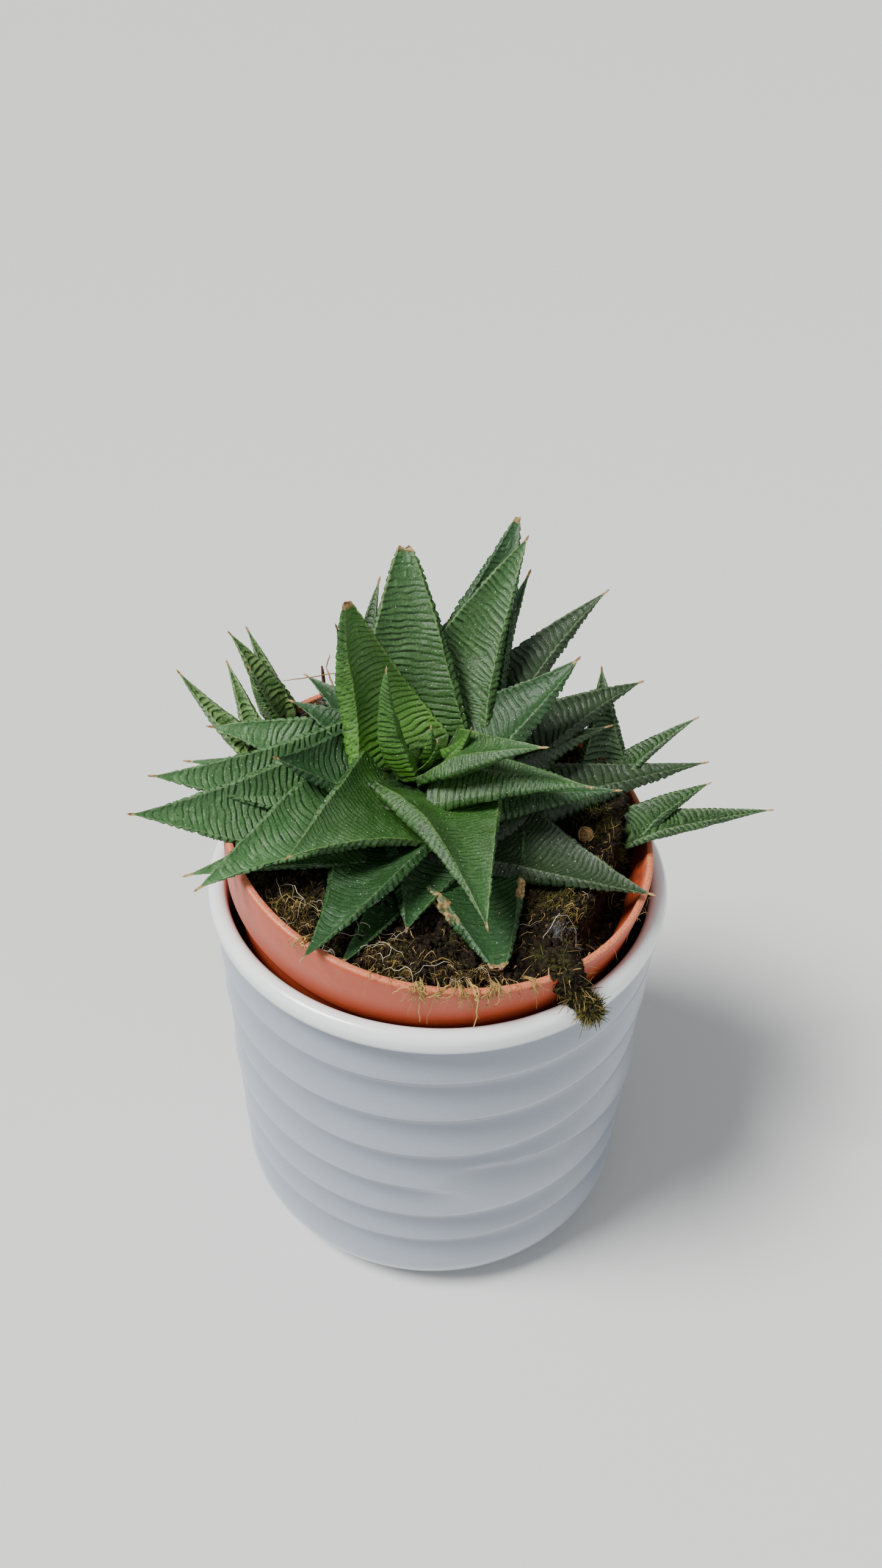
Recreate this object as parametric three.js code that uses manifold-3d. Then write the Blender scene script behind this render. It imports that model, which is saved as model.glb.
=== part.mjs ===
// Potted haworthia: a rosette of ridged leaves with five offsets, in peat, in a plastic
// nursery pot that leans inside a glazed cover pot. Millimetres, +Z up, origin at the middle
// of the cover pot's underside, the photograph's viewer towards -Y.

import * as THREE from 'three';
import { mergeVertices } from 'three/addons/utils/BufferGeometryUtils.js';
import Module from 'manifold-3d';

const wasm = await Module();
wasm.setup();

// ---------------------------------------------------------------- driving dimensions

const GAP = 0.3; // clearance between pieces that rest on or grow round each other
const SHORT_EDGE = 0.004; // edges under this are closed up after a cut

const COVER_POT = {
  height: 98,
  lipOuter: 53, // radius of the rounded lip, which stands proud of the wall
  lipInner: 48.9,
  wallTop: 52.5, // outer radius of the wall just under the lip
  wallFoot: 50.9, // outer radius where the foot's rounding starts
  footRound: 13,
  wall: 3.6,
  floor: 6,
  sides: 40,
};

// Soft creases between the bulging bands of the glazed wall. swing tips a crease up towards
// the azimuth high, wave bends it twice round the pot, and a fade takes it in or out.
const CREASES = [
  { height: 91.0, swing: 0, wave: 0, high: 0 },
  { height: 78.8, swing: 0.9, wave: 0, high: -40 },
  { height: 66.0, swing: 0.9, wave: 0, high: -40 },
  { height: 55.2, swing: 0, wave: 1.6, high: -5 },
  { height: 41.2, swing: 0, wave: 0.6, high: 40, fade: 'out' },
  { height: 45.0, slope: -0.15, swing: 0, wave: 0, high: 0, fade: 'in' },
  { height: 30.4, swing: 0, wave: 0.5, high: -5 },
  { height: 19.4, swing: 0.4, wave: 0, high: -60 },
];
const CREASE = { depth: 1.15, above: 3.0, below: 6.0 };
const DUNE = { middle: -52, reach: 34, soft: 14 }; // the stretch where one band splits in two

const NURSERY_POT = {
  rimCentre: [0.5, -2, 113.5],
  lean: [0.125, -0.105, 1], // direction of its axis
  height: 103,
  rimOuter: 48.3,
  rimFoot: 47.3, // the rim band draws in a little towards its lower edge
  rimBand: 15,
  shoulder: 45.4,
  footOuter: 32.6,
  wall: 1.6,
  sides: 40,
};

const SOIL = {
  below: 4.2, // soil line under the rim
  seat: 1.9, // soil's lowest layer over the pot's underside
  sides: 32,
  rings: [0.93, 0.78, 0.6, 0.42, 0.2],
  roughness: 0.9,
};

// Heaps on the soil, in the leaning pot's own plane.
const HEAPS = [
  { at: [41, 2], rise: 8.5, spread: 10 },
  { at: [-30, 32], rise: 5.5, spread: 12 },
  { at: [-4, 2], rise: -9, spread: 21 }, // the hollow under the rosette
  { at: [27, -30], rise: 2.0, spread: 12 },
];

const STEM = { axis: [-4, 1], foot: 90, top: 124, footRadius: 5.2, topRadius: 1.9, sides: 12 };
const FOCUS = [-4, 2, 185]; // upper faces of the rosette's leaves are turned to this point

// A leaf's section and relief, as shares of its half width or in millimetres.
const LEAF = {
  taper: 1.1, // width falls with this power of the distance to the tip
  thickness: 0.42, // keel under the margins, in half widths
  channel: 0.12, // margins over the upper face, in half widths
  face: 0.46, // where the face's two inner lines lie, in half widths
  ridge: 0.45,
  ridgePitch: 7,
  fewestRidges: 2,
  reliefFrom: 0.14, // share of the length where the ridges start
  baseThickness: 0.6, // keel at the base against the keel further out
  play: 0.28, // further room round a leaf, since its plain form follows the curve more coarsely
  tipHalfWidth: 0.45,
  tipThickness: 0.8,
  rootWidth: 0.55, // half width at the root against the half width at the base
};

// The rosette, from the growing point outwards. base is the middle of the leaf's widest place:
// turn round the stem in degrees, distance from the stem's axis and height. bow lifts the
// middle of the leaf off its chord, sweep bends it sideways, roll twists the face.
const ROSETTE = [
  { tip: [-2.3, -1.5, 137], turn: -20, out: 1.8, base: 126.5, width: 5.5, roll: 0, bow: -1, sweep: 0 },
  { tip: [-1.0, -3.2, 134.5], turn: -75, out: 2.2, base: 126, width: 4.5, roll: 0, bow: -0.8, sweep: 0 },
  { tip: [-11.7, -1, 151], turn: 178, out: 3.3, base: 123.5, width: 10.5, roll: -17, bow: -1, sweep: 1.4 },
  { tip: [6, -2.3, 137.5], turn: -24, out: 3.2, base: 126, width: 8.5, roll: -10, bow: -1.3, sweep: -1 },
  { tip: [21.2, -11, 139.5], turn: -15, out: 4, base: 127.5, width: 17.5, roll: -10, bow: 2, sweep: 1.5 },
  { tip: [-20.4, 7.5, 163], turn: 150, out: 6, base: 124.5, width: 24, roll: 40, bow: -6, sweep: 0.5, cut: 0.95 },
  { tip: [31.4, -12.3, 130.5], turn: -15, out: 5, base: 122.5, width: 24, roll: 6, bow: 1, sweep: 0.2 },
  { tip: [9.7, -43.2, 119.5], turn: -65, out: 6.5, base: 122, width: 31, roll: 12, bow: 2.8, sweep: 0.1 },
  { tip: [-9.6, 35, 163], turn: 118, out: 8.5, base: 124.3, width: 29.2, roll: 1, bow: 2, sweep: 0.3, cut: 0.95 },
  { tip: [-30.5, -27.2, 122], turn: -133, out: 7.6, base: 119.5, width: 29, roll: 30, bow: 2, sweep: 0.6 },
  { tip: [18, 38, 162], turn: 85, out: 9.5, base: 123, width: 28, roll: -18, bow: -0.5, sweep: -1 },
  { tip: [30, 19, 142.5], turn: 45, out: 9, base: 123.5, width: 25, roll: -18, bow: -0.5, sweep: 1 },
  { tip: [-34.8, -8.2, 133], turn: 172, out: 9.8, base: 123.5, width: 26, roll: 28, bow: -2.4, sweep: 0 },
  { tip: [38.9, -3.4, 123], turn: -2, out: 6.5, base: 115.5, width: 23, roll: -4, bow: 0.5, sweep: 0 },
  { tip: [-34.5, 16.1, 131], turn: 145, out: 7.1, base: 120, width: 20, roll: 15, bow: 1.6, sweep: 0.9 },
  { tip: [16.7, 49.2, 163.5], turn: 84, out: 11, base: 118, width: 30, roll: -20, bow: 2.5, sweep: 0.8, cut: 0.97 },
  { tip: [39.1, 19, 124.5], turn: 38, out: 9, base: 117, width: 21, roll: -6, bow: 0.5, sweep: 0 },
  { tip: [-6.2, -34, 109], turn: -78, out: 9.7, base: 112.5, width: 25, roll: 18, bow: -1.5, sweep: 0.1 },
  { tip: [45.9, -21.3, 109], turn: -14, out: 9, base: 112, width: 29.5, roll: -15, bow: 0, sweep: 1 },
  { tip: [-48, -34.2, 119], turn: -167, out: 10.3, base: 117.5, width: 29, roll: 18, bow: 1.5, sweep: 1 },
  { tip: [-63.5, -19.6, 126], turn: -171, out: 13, base: 116, width: 35, roll: 38, bow: -1, sweep: -0.8 },
  { tip: [37.7, 40.2, 148], turn: 62, out: 11, base: 116, width: 27, roll: -11, bow: 1.3, sweep: -1.8 },
  { tip: [61.5, 14.5, 118], turn: 11, out: 9, base: 111.5, width: 27, roll: -9, bow: -1, sweep: -1 },
  { tip: [-25.8, -48.2, 114.6], turn: -128, out: 11.2, base: 112, width: 27.5, roll: -14, bow: -0.4, sweep: -1.4 },
  { tip: [-60.8, -10.5, 129], turn: 163, out: 12.5, base: 118.5, width: 30, roll: 30, bow: 0, sweep: -0.6 },
  { tip: [13, -43.8, 106.2], turn: -48, out: 13.5, base: 108.5, width: 30, roll: 2, bow: -1, sweep: -0.9, cut: 0.93 },
  { tip: [47, 30.4, 129.5], turn: 34, out: 11, base: 112, width: 27, roll: -26, bow: 3.4, sweep: -1.4 },
  { tip: [-52.5, 10.8, 127], turn: 146, out: 12, base: 117, width: 27, roll: 28, bow: 1, sweep: 1.4 },
  { tip: [19.7, 45, 150], turn: 72, out: 13, base: 111, width: 20, roll: -10, bow: 1.2, sweep: 0 },
  { tip: [-32.7, 30.1, 129], turn: 126, out: 10.5, base: 115.5, width: 20, roll: 8, bow: 2, sweep: 1 },
  { tip: [31.7, 3, 112.5], turn: -8, out: 9.5, base: 106.5, width: 20, roll: -14, bow: 0.6, sweep: 0 },
  { tip: [-56.3, 1.6, 124], turn: 177, out: 13, base: 113.5, width: 21, roll: 12, bow: 2.4, sweep: 0.3 },
  { tip: [-51.5, -28, 117], turn: -148, out: 12, base: 111.5, width: 21, roll: 22, bow: 1.6, sweep: -0.5 },
  { tip: [-9, 49, 132], turn: 100, out: 12, base: 112, width: 22, roll: 0, bow: 2, sweep: 0 },
  { tip: [-41.8, -25.9, 116], turn: -138, out: 13, base: 108.5, width: 18, roll: 12, bow: 1.4, sweep: 0 },
  { tip: [10, 47, 126], turn: 84, out: 13, base: 107, width: 22, roll: 0, bow: 2, sweep: 0 },
  { tip: [-18.6, -43.9, 109.4], turn: -101, out: 18, base: 108, width: 11, roll: 8, bow: -0.5, sweep: -0.4 },
];

// Offsets that have come up round the mother plant. Their leaves start at one foot.
const OFFSETS = [
  {
    name: 'offset_left',
    foot: [-40.5, 9.5, 120.5],
    leaves: [
      { tip: [-61.6, 25.5, 132.0], width: 9.5, bow: -1.2 },
      { tip: [-50.3, 26.9, 134.0], width: 7, bow: 1 },
    ],
  },
  {
    name: 'offset_left_back',
    foot: [-36.5, 22.5, 121.5],
    leaves: [
      { tip: [-49.7, 30.0, 140.0], width: 12, bow: 1.5 },
      { tip: [-46.7, 35.8, 138.0], width: 7, bow: 1 },
      { tip: [-43.9, 20.5, 137.0], width: 11, bow: -0.8 },
    ],
  },
  {
    name: 'offset_back',
    foot: [-21, 34.5, 119],
    leaves: [
      { tip: [-25.9, 39.0, 137.3], width: 10, bow: 1 },
      { tip: [-16.1, 50.0, 144.4], width: 9, bow: 2 },
      { tip: [-8, 47, 130], width: 8, bow: 1.5 },
    ],
  },
  {
    name: 'offset_right_back',
    foot: [38.5, 16, 111.5],
    leaves: [
      { tip: [37.8, 35.0, 130.0], width: 13, bow: 1.5 },
      { tip: [59.1, 21.0, 126.0], width: 10, bow: 1 },
    ],
  },
  {
    name: 'offset_right',
    foot: [41.5, -1, 110.5],
    leaves: [
      { tip: [60.9, 6.6, 118.0], width: 11, bow: 0.8 },
      { tip: [73.1, -2.5, 118.0], width: 12, bow: 0.5 },
    ],
  },
];
const OFFSET_FOOT = { radius: 3.4, depth: 9, lift: 1, sides: 7, leafOut: 1.5, rootBelow: 3.5, keel: 0.7 };

// ---------------------------------------------------------------- materials

const GLAZE = new THREE.MeshStandardMaterial({ color: 0xd7dbe2, roughness: 0.35, metalness: 0 });
const TERRACOTTA_PLASTIC = new THREE.MeshStandardMaterial({ color: 0xb5512f, roughness: 0.5, metalness: 0 });
const PEAT = new THREE.MeshStandardMaterial({ color: 0x2a211a, roughness: 1, metalness: 0 });
const STEM_GREEN = new THREE.MeshStandardMaterial({ color: 0x6d7f45, roughness: 0.6, metalness: 0 });
const LEAF_YOUNG = new THREE.MeshStandardMaterial({ color: 0x4c8a2f, roughness: 0.45, metalness: 0 });
const LEAF_OLD = new THREE.MeshStandardMaterial({ color: 0x2f5238, roughness: 0.5, metalness: 0 });
const OFFSET_GREEN = new THREE.MeshStandardMaterial({ color: 0x4f7f45, roughness: 0.5, metalness: 0 });

// ---------------------------------------------------------------- solids and meshes

const smoothstep = (low, high, value) => {
  const share = Math.min(Math.max((value - low) / (high - low), 0), 1);
  return share * share * (3 - 2 * share);
};

// Joins the vertices of a three.js geometry that lie on each other.
function weld(geometry) {
  const bare = geometry.clone();
  bare.deleteAttribute('normal');
  bare.deleteAttribute('uv');
  return mergeVertices(bare, 1e-4);
}

function toSolid(geometry) {
  const welded = weld(geometry);
  const mesh = new wasm.Mesh({
    numProp: 3,
    vertProperties: new Float32Array(welded.attributes.position.array),
    triVerts: new Uint32Array(welded.index.array),
  });
  return new wasm.Manifold(mesh);
}

// Sets of joined numbers from 0 to count - 1.
function joinedSets(count) {
  const parent = Array.from({ length: count }, (_, i) => i);
  const rootOf = (i) => {
    while (parent[i] !== i) {
      parent[i] = parent[parent[i]];
      i = parent[i];
    }
    return i;
  };
  return { rootOf, join: (a, b) => { parent[rootOf(a)] = rootOf(b); } };
}

// A solid's triangles as vertex triples, with its vertices. Vertices that a very short edge
// joins become one, so that a cut leaves no slivers.
function solidTriangles(solid) {
  const { vertProperties, triVerts, numProp } = solid.getMesh();
  const count = vertProperties.length / numProp;
  const vertices = Array.from({ length: count }, (_, i) => (
    new THREE.Vector3(...vertProperties.slice(i * numProp, i * numProp + 3))
  ));
  const triples = Array.from({ length: triVerts.length / 3 }, (_, t) => [...triVerts.slice(3 * t, 3 * t + 3)]);
  const merged = joinedSets(count);
  for (const [a, b, c] of triples) {
    for (const [i, j] of [[a, b], [b, c], [c, a]]) {
      if (vertices[i].distanceTo(vertices[j]) < SHORT_EDGE) merged.join(i, j);
    }
  }
  const kept = triples.map((triple) => triple.map(merged.rootOf));
  return { vertices, triples: kept.filter(([a, b, c]) => a !== b && b !== c && c !== a) };
}

// The largest body of a solid, so that loose scraps left by a cut are dropped. Triangles that
// share an edge belong to one body.
function toGeometry(solid) {
  const { vertices, triples } = solidTriangles(solid);
  const bodies = joinedSets(triples.length);
  const seen = new Map();
  triples.forEach(([a, b, c], t) => {
    for (const [i, j] of [[a, b], [b, c], [c, a]]) {
      const edge = `${Math.min(i, j)}_${Math.max(i, j)}`;
      if (seen.has(edge)) bodies.join(seen.get(edge), t);
      seen.set(edge, t);
    }
  });
  const volumes = new Map();
  triples.forEach(([a, b, c], t) => {
    const share = vertices[a].dot(vertices[b].clone().cross(vertices[c])) / 6;
    volumes.set(bodies.rootOf(t), (volumes.get(bodies.rootOf(t)) ?? 0) + share);
  });
  const largest = [...volumes.entries()].sort((a, b) => b[1] - a[1])[0][0];
  const geometry = new THREE.BufferGeometry();
  const positions = vertices.flatMap((vertex) => vertex.toArray());
  geometry.setAttribute('position', new THREE.Float32BufferAttribute(positions, 3));
  geometry.setIndex(triples.filter((_, t) => bodies.rootOf(t) === largest).flat());
  return geometry;
}

function addMesh(group, name, geometry, material) {
  const mesh = new THREE.Mesh(geometry, material);
  mesh.geometry.computeVertexNormals();
  mesh.name = name;
  group.add(mesh);
  return mesh;
}

// A closed skin over rings that all have the same number of points.
function skin(rings) {
  const count = rings[0].length;
  const positions = rings.flat().flatMap((point) => point.toArray());
  const index = [];
  for (let r = 0; r + 1 < rings.length; r += 1) {
    for (let i = 0; i < count; i += 1) {
      const a = r * count + i;
      const b = r * count + ((i + 1) % count);
      index.push(a, b, b + count, a, b + count, a + count);
    }
  }
  const last = (rings.length - 1) * count;
  for (let i = 1; i + 1 < count; i += 1) {
    index.push(0, i + 1, i);
    index.push(last, last + i, last + i + 1);
  }
  const geometry = new THREE.BufferGeometry();
  geometry.setAttribute('position', new THREE.Float32BufferAttribute(positions, 3));
  geometry.setIndex(index);
  return geometry;
}

// ---------------------------------------------------------------- cover pot

// How strongly the wall's dune pattern is present at an azimuth, from 0 to 1.
function duneShare(azimuth) {
  const turned = ((azimuth - DUNE.middle + 90 + 360) % 180) - 90; // the pattern comes twice round
  return 1 - smoothstep(DUNE.reach - DUNE.soft, DUNE.reach + DUNE.soft, Math.abs(turned));
}

function creaseDepth(azimuth, height) {
  const radians = THREE.MathUtils.degToRad(azimuth);
  let deepest = 0;
  for (const crease of CREASES) {
    const high = THREE.MathUtils.degToRad(crease.high);
    const turned = ((azimuth - DUNE.middle + 90 + 360) % 180) - 90;
    const level =
      crease.height +
      crease.swing * Math.cos(radians - high) +
      crease.wave * Math.cos(2 * (radians - high)) +
      (crease.slope ?? 0) * turned;
    const over = height - level;
    const width = over > 0 ? CREASE.above : CREASE.below;
    let strength = 1;
    if (crease.fade === 'in') strength = duneShare(azimuth);
    if (crease.fade === 'out') strength = 1 - duneShare(azimuth);
    deepest = Math.max(deepest, strength * Math.exp(-((over / width) ** 2)));
  }
  return CREASE.depth * deepest;
}

function coverPotGeometry() {
  const pot = COVER_POT;
  const points = [new THREE.Vector2(0, 0)];
  const footCentre = pot.wallFoot - pot.footRound;
  for (const turn of [0, 22, 45, 68]) {
    const radians = THREE.MathUtils.degToRad(turn);
    points.push(new THREE.Vector2(
      footCentre + pot.footRound * Math.sin(radians),
      pot.footRound * (1 - Math.cos(radians)),
    ));
  }
  const levels = [
    14, 19.4, 23, 30.4, 34, 41.2, 45, 48.5, 55.2, 58.5, 66, 69.5, 74.5, 78.8, 82.3, 87, 90.8,
  ];
  for (const level of levels) {
    const share = (level - pot.footRound) / (pot.height - pot.footRound);
    points.push(new THREE.Vector2(THREE.MathUtils.lerp(pot.wallFoot, pot.wallTop, share), level));
  }
  const lipRound = (pot.lipOuter - pot.lipInner) / 2;
  const lipMiddle = (pot.lipOuter + pot.lipInner) / 2;
  points.push(new THREE.Vector2(pot.lipOuter, pot.height - 4.5));
  for (const turn of [0, 45, 90, 135, 180]) {
    const radians = THREE.MathUtils.degToRad(turn);
    points.push(new THREE.Vector2(
      lipMiddle + lipRound * Math.cos(radians),
      pot.height - lipRound + lipRound * Math.sin(radians),
    ));
  }
  const innerFoot = pot.wallFoot - pot.wall;
  points.push(new THREE.Vector2(pot.lipInner, pot.height - 12));
  points.push(new THREE.Vector2(innerFoot, pot.floor + 8));
  points.push(new THREE.Vector2(innerFoot - 2.5, pot.floor + 2.5));
  points.push(new THREE.Vector2(innerFoot - 8, pot.floor));
  points.push(new THREE.Vector2(0, pot.floor));
  const geometry = new THREE.LatheGeometry(points, pot.sides);
  geometry.rotateX(Math.PI / 2);
  const position = geometry.attributes.position;
  for (let i = 0; i < position.count; i += 1) {
    const [x, y, z] = [position.getX(i), position.getY(i), position.getZ(i)];
    const radius = Math.hypot(x, y);
    const onWall = radius > pot.wallFoot - 4 && z > 4 && z < pot.height - 4.6 && radius > pot.lipInner + 0.5;
    if (onWall) {
      const azimuth = THREE.MathUtils.radToDeg(Math.atan2(y, x));
      const scale = (radius - creaseDepth(azimuth, z)) / radius;
      position.setXY(i, x * scale, y * scale);
    }
  }
  return weld(geometry);
}

// ---------------------------------------------------------------- nursery pot and soil

function leanMatrix() {
  const axis = new THREE.Vector3(...NURSERY_POT.lean).normalize();
  const turn = new THREE.Quaternion().setFromUnitVectors(new THREE.Vector3(0, 0, 1), axis);
  return new THREE.Matrix4().compose(
    new THREE.Vector3(...NURSERY_POT.rimCentre), turn, new THREE.Vector3(1, 1, 1),
  );
}

// Inner radius of the nursery pot at a height under its rim (height is zero or less).
function nurseryInside(height) {
  const pot = NURSERY_POT;
  const share = THREE.MathUtils.clamp((-height - pot.rimBand) / (pot.height - pot.rimBand), 0, 1);
  return THREE.MathUtils.lerp(pot.shoulder, pot.footOuter, share) - pot.wall;
}

function nurseryPotGeometry() {
  const pot = NURSERY_POT;
  const band = -pot.rimBand;
  const foot = -pot.height;
  const profile = [
    [0, foot],
    [pot.footOuter - 1.5, foot],
    [pot.footOuter, foot + 1.5],
    [pot.shoulder, band - 1.5],
    [pot.rimFoot, band],
    [pot.rimOuter - 0.15, -4],
    [pot.rimOuter, -0.8],
    [pot.rimOuter - 0.5, 0],
    [pot.rimOuter - pot.wall, 0],
    [pot.rimOuter - pot.wall - 0.3, -4],
    [pot.shoulder - pot.wall, band],
    [nurseryInside(foot + pot.wall), foot + pot.wall],
    [0, foot + pot.wall],
  ];
  const points = profile.map(([radius, height]) => new THREE.Vector2(radius, height));
  return weld(new THREE.LatheGeometry(points, pot.sides).rotateX(Math.PI / 2));
}

// Height of the soil over the leaning rim's plane.
function soilHeight(x, y) {
  let height = -SOIL.below;
  for (const heap of HEAPS) {
    const away = Math.hypot(x - heap.at[0], y - heap.at[1]);
    height += heap.rise * Math.exp(-((away / heap.spread) ** 2));
  }
  const crumbs = Math.sin(0.55 * x + 1.3) * Math.sin(0.48 * y + 0.4) + 0.5 * Math.sin(1.1 * x - 0.9 * y);
  return height + SOIL.roughness * crumbs;
}

function soilGeometry() {
  const rimInside = NURSERY_POT.rimOuter - NURSERY_POT.wall - 0.3 - GAP;
  const foot = -NURSERY_POT.height + SOIL.seat;
  const circle = (radius, heightAt) => Array.from({ length: SOIL.sides }, (_, i) => {
    const turn = (2 * Math.PI * i) / SOIL.sides;
    const [x, y] = [radius * Math.cos(turn), radius * Math.sin(turn)];
    return new THREE.Vector3(x, y, heightAt(x, y));
  });
  const rings = [
    circle(nurseryInside(foot) - GAP, () => foot),
    circle(nurseryInside(-NURSERY_POT.rimBand) - GAP, () => -NURSERY_POT.rimBand - 0.5),
    circle(rimInside - 0.8, () => -10),
    circle(rimInside - 0.4, (x, y) => Math.max(soilHeight(x, y) - 0.5, -7)),
  ];
  for (const share of SOIL.rings) rings.push(circle(rimInside * share, soilHeight));
  return skin(rings).applyMatrix4(leanMatrix());
}

// ---------------------------------------------------------------- leaves

// The frame of a leaf along its chord, with its face turned to the focus and then rolled.
function leafFrame(leaf, focus) {
  const chord = new THREE.Vector3().subVectors(leaf.to, leaf.from);
  const length = chord.length();
  const along = chord.clone().normalize();
  const up = new THREE.Vector3().subVectors(focus, leaf.from);
  up.addScaledVector(along, -up.dot(along)).normalize();
  const side = new THREE.Vector3().crossVectors(along, up);
  const roll = THREE.MathUtils.degToRad(leaf.roll ?? 0);
  const rolledSide = side.clone().multiplyScalar(Math.cos(roll)).addScaledVector(up, Math.sin(roll));
  const rolledUp = up.clone().multiplyScalar(Math.cos(roll)).addScaledVector(side, -Math.sin(roll));
  return { along, side: rolledSide, up: rolledUp, length };
}

// Places a section's points, [x, y] in millimetres, across a leaf.
function placeSection(centre, tangent, side, points) {
  const across = side.clone().addScaledVector(tangent, -side.dot(tangent)).normalize();
  const normal = new THREE.Vector3().crossVectors(across, tangent).normalize();
  return points.map(([x, y]) => centre.clone().addScaledVector(across, x).addScaledVector(normal, y));
}

// The leaf's own section: two face lines, margin, keel, margin.
function leafSection(halfWidth, keel, crest) {
  const edge = halfWidth + crest;
  const rise = LEAF.channel * halfWidth;
  const face = LEAF.face * halfWidth;
  return [[-face, crest], [face, crest], [edge, rise], [0, -keel - crest], [-edge, rise]];
}

// The plain section of the room round a leaf, with square margins.
function roomSection(halfWidth, keel, room) {
  const edge = halfWidth + room;
  const rise = LEAF.channel * halfWidth;
  const face = LEAF.face * halfWidth;
  return [
    [-face, room], [face, room], [edge, rise + room], [edge, rise - room],
    [0, -keel - room], [-edge, rise - room], [-edge, rise + room],
  ];
}

function leafMidrib(leaf, frame) {
  const control = new THREE.Vector3().addVectors(leaf.from, leaf.to).multiplyScalar(0.5)
    .addScaledVector(frame.up, 2 * leaf.bow)
    .addScaledVector(frame.side, 2 * (leaf.sweep ?? 0));
  return new THREE.QuadraticBezierCurve3(leaf.from, control, leaf.to);
}

// Half width and keel depth at a share of the leaf's length.
function leafSizes(leaf, share) {
  const halfWidth = Math.max((leaf.width / 2) * Math.pow(1 - share, LEAF.taper), LEAF.tipHalfWidth);
  const full = THREE.MathUtils.lerp(LEAF.baseThickness, 1, smoothstep(0, 0.3, share));
  const keel = Math.max((leaf.keel ?? LEAF.thickness) * full * halfWidth, LEAF.tipThickness * (1 - 0.4 * share));
  return { halfWidth, keel };
}

// Shares of the length where a leaf's ridges have their crests and valleys.
function reliefShares(leaf, length) {
  const crests = Math.max(LEAF.fewestRidges, Math.round(((1 - LEAF.reliefFrom) * length) / LEAF.ridgePitch));
  const end = leaf.cut ?? 1;
  return Array.from({ length: 2 * crests + 1 }, (_, i) => (
    LEAF.reliefFrom + ((end - LEAF.reliefFrom) * i) / (2 * crests)
  ));
}

function leafRootRing(leaf, frame, section) {
  const tangent = new THREE.Vector3().subVectors(leaf.from, leaf.root).normalize();
  return { tangent, ring: (centre) => placeSection(centre, tangent, frame.side, section) };
}

function leafGeometry(leaf, focus) {
  const frame = leafFrame(leaf, focus);
  const midrib = leafMidrib(leaf, frame);
  const rootHalf = (LEAF.rootWidth * leaf.width) / 2;
  const root = leafRootRing(leaf, frame, leafSection(rootHalf, leafSizes(leaf, 0).keel * LEAF.rootWidth, 0));
  const rings = [root.ring(leaf.root)];
  const addRing = (share, crest) => {
    const { halfWidth, keel } = leafSizes(leaf, share);
    const tangent = midrib.getTangent(Math.min(share, 0.999));
    const section = leafSection(halfWidth, keel, crest);
    rings.push(placeSection(midrib.getPoint(share), tangent, frame.side, section));
  };
  addRing(0, 0);
  reliefShares(leaf, frame.length).forEach((share, i) => {
    const crest = LEAF.ridge * (i % 2) * Math.min(1, 2.5 * (1 - share));
    addRing(share, crest);
  });
  return skin(rings);
}

// The plain form that its neighbours leave free round a leaf.
function leafRoom(leaf, focus) {
  const frame = leafFrame(leaf, focus);
  const midrib = leafMidrib(leaf, frame);
  const room = GAP + LEAF.ridge + LEAF.play;
  const end = leaf.cut ?? 1;
  const steps = 3 + Math.round(Math.abs(leaf.bow));
  const rootHalf = (LEAF.rootWidth * leaf.width) / 2;
  const root = leafRootRing(leaf, frame, roomSection(rootHalf, leafSizes(leaf, 0).keel * LEAF.rootWidth, room));
  const rings = [root.ring(leaf.root.clone().addScaledVector(root.tangent, -room)), root.ring(leaf.root)];
  for (let i = 0; i <= steps; i += 1) {
    const share = (i / steps) * end;
    const { halfWidth, keel } = leafSizes(leaf, share);
    const tangent = midrib.getTangent(Math.min(share, 0.999));
    const section = roomSection(halfWidth, keel, room);
    rings.push(placeSection(midrib.getPoint(share), tangent, frame.side, section));
  }
  rings.push(rings[rings.length - 1].map((point) => point.clone().addScaledVector(frame.along, room)));
  return skin(rings);
}

function rosetteLeaf(spec) {
  const turn = THREE.MathUtils.degToRad(spec.turn);
  const [axisX, axisY] = STEM.axis;
  const onRay = (radius, height) => new THREE.Vector3(
    axisX + radius * Math.cos(turn), axisY + radius * Math.sin(turn), height,
  );
  const rise = (STEM.top - spec.base) / (STEM.top - STEM.foot);
  const stemRadius = THREE.MathUtils.lerp(STEM.topRadius, STEM.footRadius, THREE.MathUtils.clamp(rise, 0, 1));
  const rootOut = Math.min(stemRadius + GAP, spec.out - 0.8);
  return {
    ...spec,
    root: onRay(rootOut, Math.min(spec.base, STEM.top) - 1.5),
    from: onRay(spec.out, spec.base),
    to: new THREE.Vector3(...spec.tip),
  };
}

// The room that the leaves leave round both pots' rims: two plain rings.
function rimRoom() {
  const ring = (profile, sides) => {
    const points = [...profile, profile[0]].map(([radius, height]) => new THREE.Vector2(radius, height));
    return new THREE.LatheGeometry(points, sides).rotateX(Math.PI / 2);
  };
  const pot = NURSERY_POT;
  const outside = pot.rimOuter + 2 * GAP;
  const nursery = ring([
    [pot.shoulder - pot.wall - 2 * GAP, -pot.rimBand - 4],
    [outside, -pot.rimBand - 4],
    [outside, GAP],
    [pot.rimOuter - pot.wall - 3 * GAP, GAP],
    [pot.rimOuter - pot.wall - 4 * GAP, -4],
  ], pot.sides).applyMatrix4(leanMatrix());
  const { lipInner, lipOuter, height, sides } = COVER_POT;
  const cover = ring([
    [lipInner - GAP, height - 20], [lipOuter + GAP, height - 20], [lipOuter + GAP, height + GAP],
    [lipInner - GAP, height + GAP],
  ], sides);
  return toSolid(nursery).add(toSolid(cover));
}

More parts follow.
